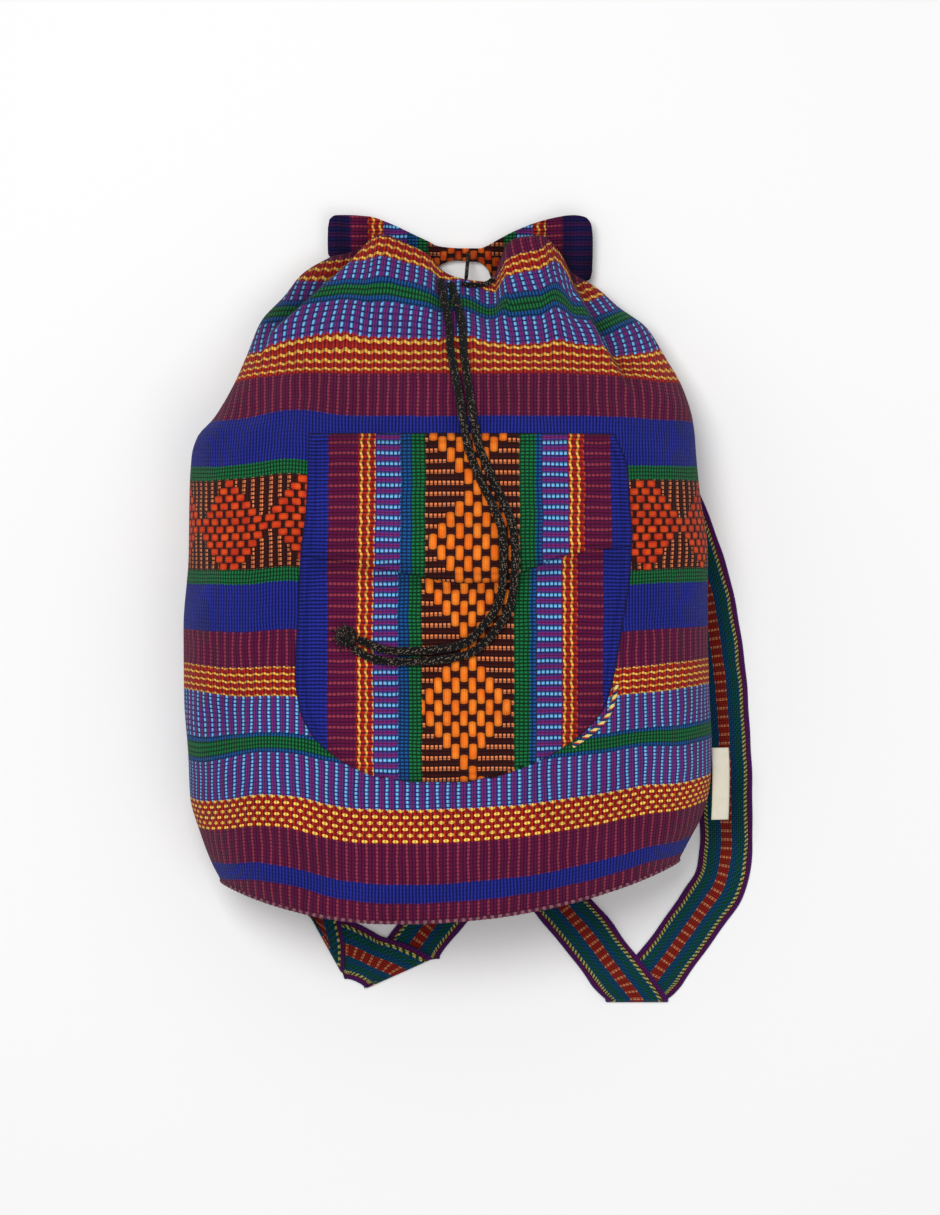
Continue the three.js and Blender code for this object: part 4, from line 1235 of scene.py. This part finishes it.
def pocket_plan(across, down, bow):
    """A place in plan on the pocket."""
    reach = np.where(across < 0, curve(POCKET_ROWS, 1, down), curve(POCKET_ROWS, 2, down))
    edge = curve(POCKET_BREAK, 1, across) - curve(POCKET_BREAK, 1, 0.0)
    return POCKET_CENTRE_X + across * POCKET_HALF * reach, POCKET_TOP_Y - POCKET_LENGTH * (down + bow * edge)


def pouch_room(across, share):
    """Room under the pouch: most in the middle of its mouth, none at its sewn edge."""
    return POCKET_PUFF * np.maximum(0, 1 - across**2) ** 0.8 * np.sqrt(np.maximum(0, 1 - share**2))


class BACKPACK_OT_pocket(bpy.types.Operator):
    """Make the pouch, the flap over its mouth and the twisted edging beside it"""

    bl_idname = "backpack.pocket"
    bl_label = "Pocket"

    def execute(self, context):
        columns = np.sin(np.linspace(-0.5, 0.5, 130) * np.pi)[None, :]
        mouth = float(curve(POCKET_BREAK, 1, 0.0)) - POCKET_OVERLAP / POCKET_LENGTH
        share = np.sin(np.linspace(0, 0.5, 100) * np.pi)[:, None]
        x, y = pocket_plan(columns, mouth + (1 - mouth) * share, (1 - share) ** 2)
        z = self.ground(x, y) + CLEARANCE + pouch_room(columns, share)
        border = np.minimum((1 - np.abs(columns)) * POCKET_HALF, (1 - share) * (1 - mouth) * POCKET_LENGTH)
        border = np.minimum(border, share * 60)
        pouch = self.panel("pocket_pouch_cloth", x, y, z, border, 0.03)
        finish(pouch, self.cloth("pouch cloth", "pouch"), ("pocket_pouch",))

        middle = float(curve(POCKET_BREAK, 1, 0.0))
        share = (0.5 - 0.5 * np.cos(np.linspace(0, 1, 90) * np.pi))[:, None]
        x, y = pocket_plan(columns, middle * share, share**2)
        over = pouch_room(columns, 0 * share) + POCKET_WALL + CLEARANCE
        z = self.ground(x, y) + CLEARANCE + over * ease(share, 0.35, 0.85)
        down = np.minimum(share, 1 - share) * middle * POCKET_LENGTH
        border = np.minimum((1 - np.abs(columns)) * POCKET_HALF, down)
        flap = self.panel("pocket_flap_cloth", x, y, z, border, 0.0)
        finish(flap, self.cloth("pocket flap cloth", "pocket flap"), ("pocket_flap",))
        self.edging()
        return {"FINISHED"}

    def ground(self, x, y):
        """The body under the pocket, ripples included."""
        z = front_height(x, y)
        points = np.stack([x, y, z], axis=-1)
        return z + ripple(points, bpy.context.scene.backpack_sizes.ripple)

    def panel(self, name, x, y, z, border, squeeze):
        """A pocket panel whose stripes run down it, with its hem raised and its rim in shade."""
        z = z + SEWN_GAP + HEM_RISE * np.exp(-(((border - 2.6) / 1.6) ** 2))
        across = x - POCKET_CENTRE_X + POCKET_HALF - 2.3
        weave = np.stack([y, across * (1 + squeeze) - squeeze * 10], axis=-1)
        shade = 0.85 * np.exp(-border / 1.1) + 0.3 * np.exp(-(((border - 5.4) / 1.1) ** 2))
        piece = grid_mesh(name, np.stack([x, y, z], axis=-1), weave, shade=shade)
        thicken(piece, POCKET_WALL, offset=1)
        if sum(polygon.normal.z for polygon in piece.data.polygons) < 0:
            piece.data.flip_normals()
        return piece

    def cloth(self, name, pattern):
        return woven_cloth(name, POCKET_STRIPES, pattern, POCKET_RIB_GROUP, DOT_PITCH)

    def edging(self):
        """Twisted yarn that shows beside the pouch, low on its right."""
        down = np.linspace(*EDGING_SPAN, EDGING_POINTS)
        x, y = pocket_plan(np.ones(EDGING_POINTS), down, 0)
        width = EDGING_WIDTH * (0.4 + 0.6 * np.sin(np.linspace(0, np.pi, EDGING_POINTS)))
        out = 2 * CLEARANCE + width / 2
        x, y = x + out, y - out / 2
        z = front_height(x, y) + CLEARANCE + 1.0
        route = np.stack([x, y, z], axis=-1) * MM
        piece, _ = cord_tube(
            "pocket_edging_yarn", route[::6], EDGING_DIAMETER * MM, sides=12, step=0.0006, braid=0.3
        )
        s = Shader("edging yarn")
        u, v = s.weave()
        turn = s.phase(u + v * 0.8, 6.0)
        colour = s.mix(turn > 0.35, yarn("teal"), (0.75, 0.6, 0.2))
        colour = s.mix(turn > 0.8, colour, yarn("brick"))
        s.cloth(colour)
        s.bump(s.noise(2500.0), 0.2 * MM)
        finish(piece, s.material, ("pocket_edging",))


def strap_rows(route, step):
    """The rows of a strap's route with rows added between them; a row's last value is the roll."""
    table = np.array(route, float)
    out = []
    for k in range(len(table) - 1):
        before, row, after, last = (table[min(max(i, 0), len(table) - 1)] for i in (k - 1, k, k + 1, k + 2))
        turns = abs(after[-1] - row[-1]) > 1
        straight = turns or abs(row[-1] - before[-1]) > 1 or abs(last[-1] - after[-1]) > 1
        count = 4 if turns else max(2, round(math.hypot(*(after - row)[:2]) / step))
        start, end = (after - before) / 2, (last - row) / 2
        for t in np.arange(count) / count:
            if straight:
                out.append(row + (after - row) * t)
            else:
                out.append(hermite(row, after, start, end, t))
    out.append(table[-1])
    return np.array(out)


# The webbing's edge, from its middle to its side: share of the half width, share of the half thickness
STRAP_SECTION = [
    (-1.0, 0.0), (-0.985, 0.7), (-0.95, 1.0), (-0.5, 1.0), (0.0, 1.0), (0.5, 1.0), (0.95, 1.0), (0.985, 0.7),
    (1.0, 0.0), (0.985, -0.7), (0.95, -1.0), (0.5, -1.0), (0.0, -1.0), (-0.5, -1.0), (-0.95, -1.0),
    (-0.985, -0.7),
]


class BACKPACK_OT_straps(bpy.types.Operator):
    """Make the two webbing shoulder straps along their routes"""

    bl_idname = "backpack.straps"
    bl_label = "Shoulder straps"

    def execute(self, context):
        webbing = webbing_cloth()
        for name, route in (("strap_right", STRAP_RIGHT_ROUTE), ("strap_left", STRAP_LEFT_ROUTE)):
            piece = self.strap(f"{name}_webbing", route)
            finish(piece, webbing, (name,))
        return {"FINISHED"}

    def strap(self, name, route):
        x, y, high, heading, stretch, roll = strap_rows(route, STRAP_STEP).T
        heading, roll = np.radians(heading), np.radians(roll)
        centre = np.stack([x, y, np.maximum(high, 0.5) * STRAP_THICKNESS], axis=-1)
        run = run_along(centre)
        across = np.stack([np.cos(heading), np.sin(heading), 0 * heading], axis=-1)
        level = np.stack([-np.sin(heading), np.cos(heading), 0 * heading], axis=-1)
        normal = np.cross(across, level) * np.cos(roll)[:, None] + level * np.sin(roll)[:, None]
        wander = 1 + 0.012 * np.sin(run / 11.0) + 0.008 * np.sin(run / 4.3)
        half = STRAP_WIDTH / 2 * stretch * wander
        shape = np.array(STRAP_SECTION)
        points = (
            centre[:, None]
            + shape[None, :, :1] * (across * half[:, None])[:, None]
            + shape[None, :, 1:] * (normal * STRAP_THICKNESS / 2)[:, None]
        )
        closed = np.vstack([shape, shape[:1]])
        weave = stacked(run[:, None], closed[None, :, 0] * STRAP_WIDTH / 2)
        piece = grid_mesh(name, points, weave, closed=True)
        cap_ends(piece)
        return piece


class BACKPACK_OT_label(bpy.types.Operator):
    """Make the blank ribbon label in the right side seam"""

    bl_idname = "backpack.label"
    bl_label = "Side label"

    def execute(self, context):
        share = np.linspace(0, 1, 40)[:, None]
        out = np.linspace(0, 1, 12)[None, :]
        y = LABEL_TOP_Y - LABEL_LENGTH * share + 0 * out
        x = section((y + BODY_LENGTH / 2) / BODY_LENGTH)[1] + 1.5 * CLEARANCE + LABEL_WIDTH * out
        z = LABEL_HEIGHT - 4 * out**2 + 0.35 * np.sin(share * 9) * out
        weave = np.stack([y, x], axis=-1)
        label = grid_mesh("side_label_ribbon", np.stack([x, y, z], axis=-1), weave)
        thicken(label, LABEL_THICKNESS, offset=1)
        s = Shader("label ribbon")
        u, v = s.weave()
        grain = s.wave(u, LABEL_THREAD) * s.wave(v, LABEL_THREAD)
        colour = s.mix(s.noise(120.0), (0.72, 0.66, 0.5), (0.86, 0.82, 0.7))
        s.cloth(colour, roughness=0.45, sheen=0.1)
        s.bump(grain, 0.1 * MM)
        finish(label, s.material, ("side_label",))
        return {"FINISHED"}


class BACKPACK_OT_studio(bpy.types.Operator):
    """Lay a plain pale floor and hang soft lights"""

    bl_idname = "backpack.studio"
    bl_label = "Studio"

    def execute(self, context):
        bpy.ops.mesh.primitive_plane_add(size=6)
        floor = bpy.context.object
        floor.name = "floor"
        s = Shader("pale floor")
        s.put(s.surface.inputs["Base Color"], (0.93, 0.93, 0.93))
        s.surface.inputs["Roughness"].default_value = 0.9
        floor.data.materials.append(s.material)
        self.light("key light", (-0.35, 0.45, 2.3), 0.8, 30)
        self.light("fill light", (0.5, -0.5, 2.2), 1.2, 10)
        world = bpy.data.worlds.new("studio")
        world.use_nodes = True
        world.node_tree.nodes["Background"].inputs["Color"].default_value = (1, 1, 1, 1)
        world.node_tree.nodes["Background"].inputs["Strength"].default_value = 0.4
        context.scene.world = world
        context.scene.view_settings.view_transform = "Standard"
        return {"FINISHED"}

    def light(self, name, place, size, power):
        data = bpy.data.lights.new(name, "AREA")
        data.size = size
        data.energy = power
        lamp = bpy.data.objects.new(name, data)
        lamp.location = place
        lamp.rotation_mode = "QUATERNION"
        lamp.rotation_quaternion = (Vector(place) - Vector((0, 0, 0.05))).to_track_quat("Z", "Y")
        bpy.context.scene.collection.objects.link(lamp)


class BACKPACK_PT_panel(bpy.types.Panel):
    """Lists what makes the backpack"""

    bl_label = "Backpack"
    bl_space_type = "VIEW_3D"
    bl_region_type = "UI"
    bl_category = "Backpack"

    def draw(self, context):
        for operator in OPERATORS:
            self.layout.operator(operator.bl_idname)
        for group in (context.scene.backpack_sizes, context.scene.backpack_yarns):
            for name in group.__annotations__:
                self.layout.prop(group, name)


OPERATORS = [
    BACKPACK_OT_camera,
    BACKPACK_OT_drawstring,
    BACKPACK_OT_body,
    BACKPACK_OT_mouth_flap,
    BACKPACK_OT_pocket,
    BACKPACK_OT_straps,
    BACKPACK_OT_label,
    BACKPACK_OT_studio,
]


def register():
    for cls in (BackpackYarns, BackpackSizes, *OPERATORS, BACKPACK_PT_panel):
        bpy.utils.register_class(cls)
    bpy.types.Scene.backpack_yarns = bpy.props.PointerProperty(type=BackpackYarns)
    bpy.types.Scene.backpack_sizes = bpy.props.PointerProperty(type=BackpackSizes)


def unregister():
    del bpy.types.Scene.backpack_sizes
    del bpy.types.Scene.backpack_yarns
    for cls in reversed((BackpackYarns, BackpackSizes, *OPERATORS, BACKPACK_PT_panel)):
        bpy.utils.unregister_class(cls)


def main():
    """Makes every piece in order."""
    register()
    for operator in OPERATORS:
        group, name = operator.bl_idname.split(".")
        getattr(getattr(bpy.ops, group), name)()


if __name__ == "__main__":
    main()
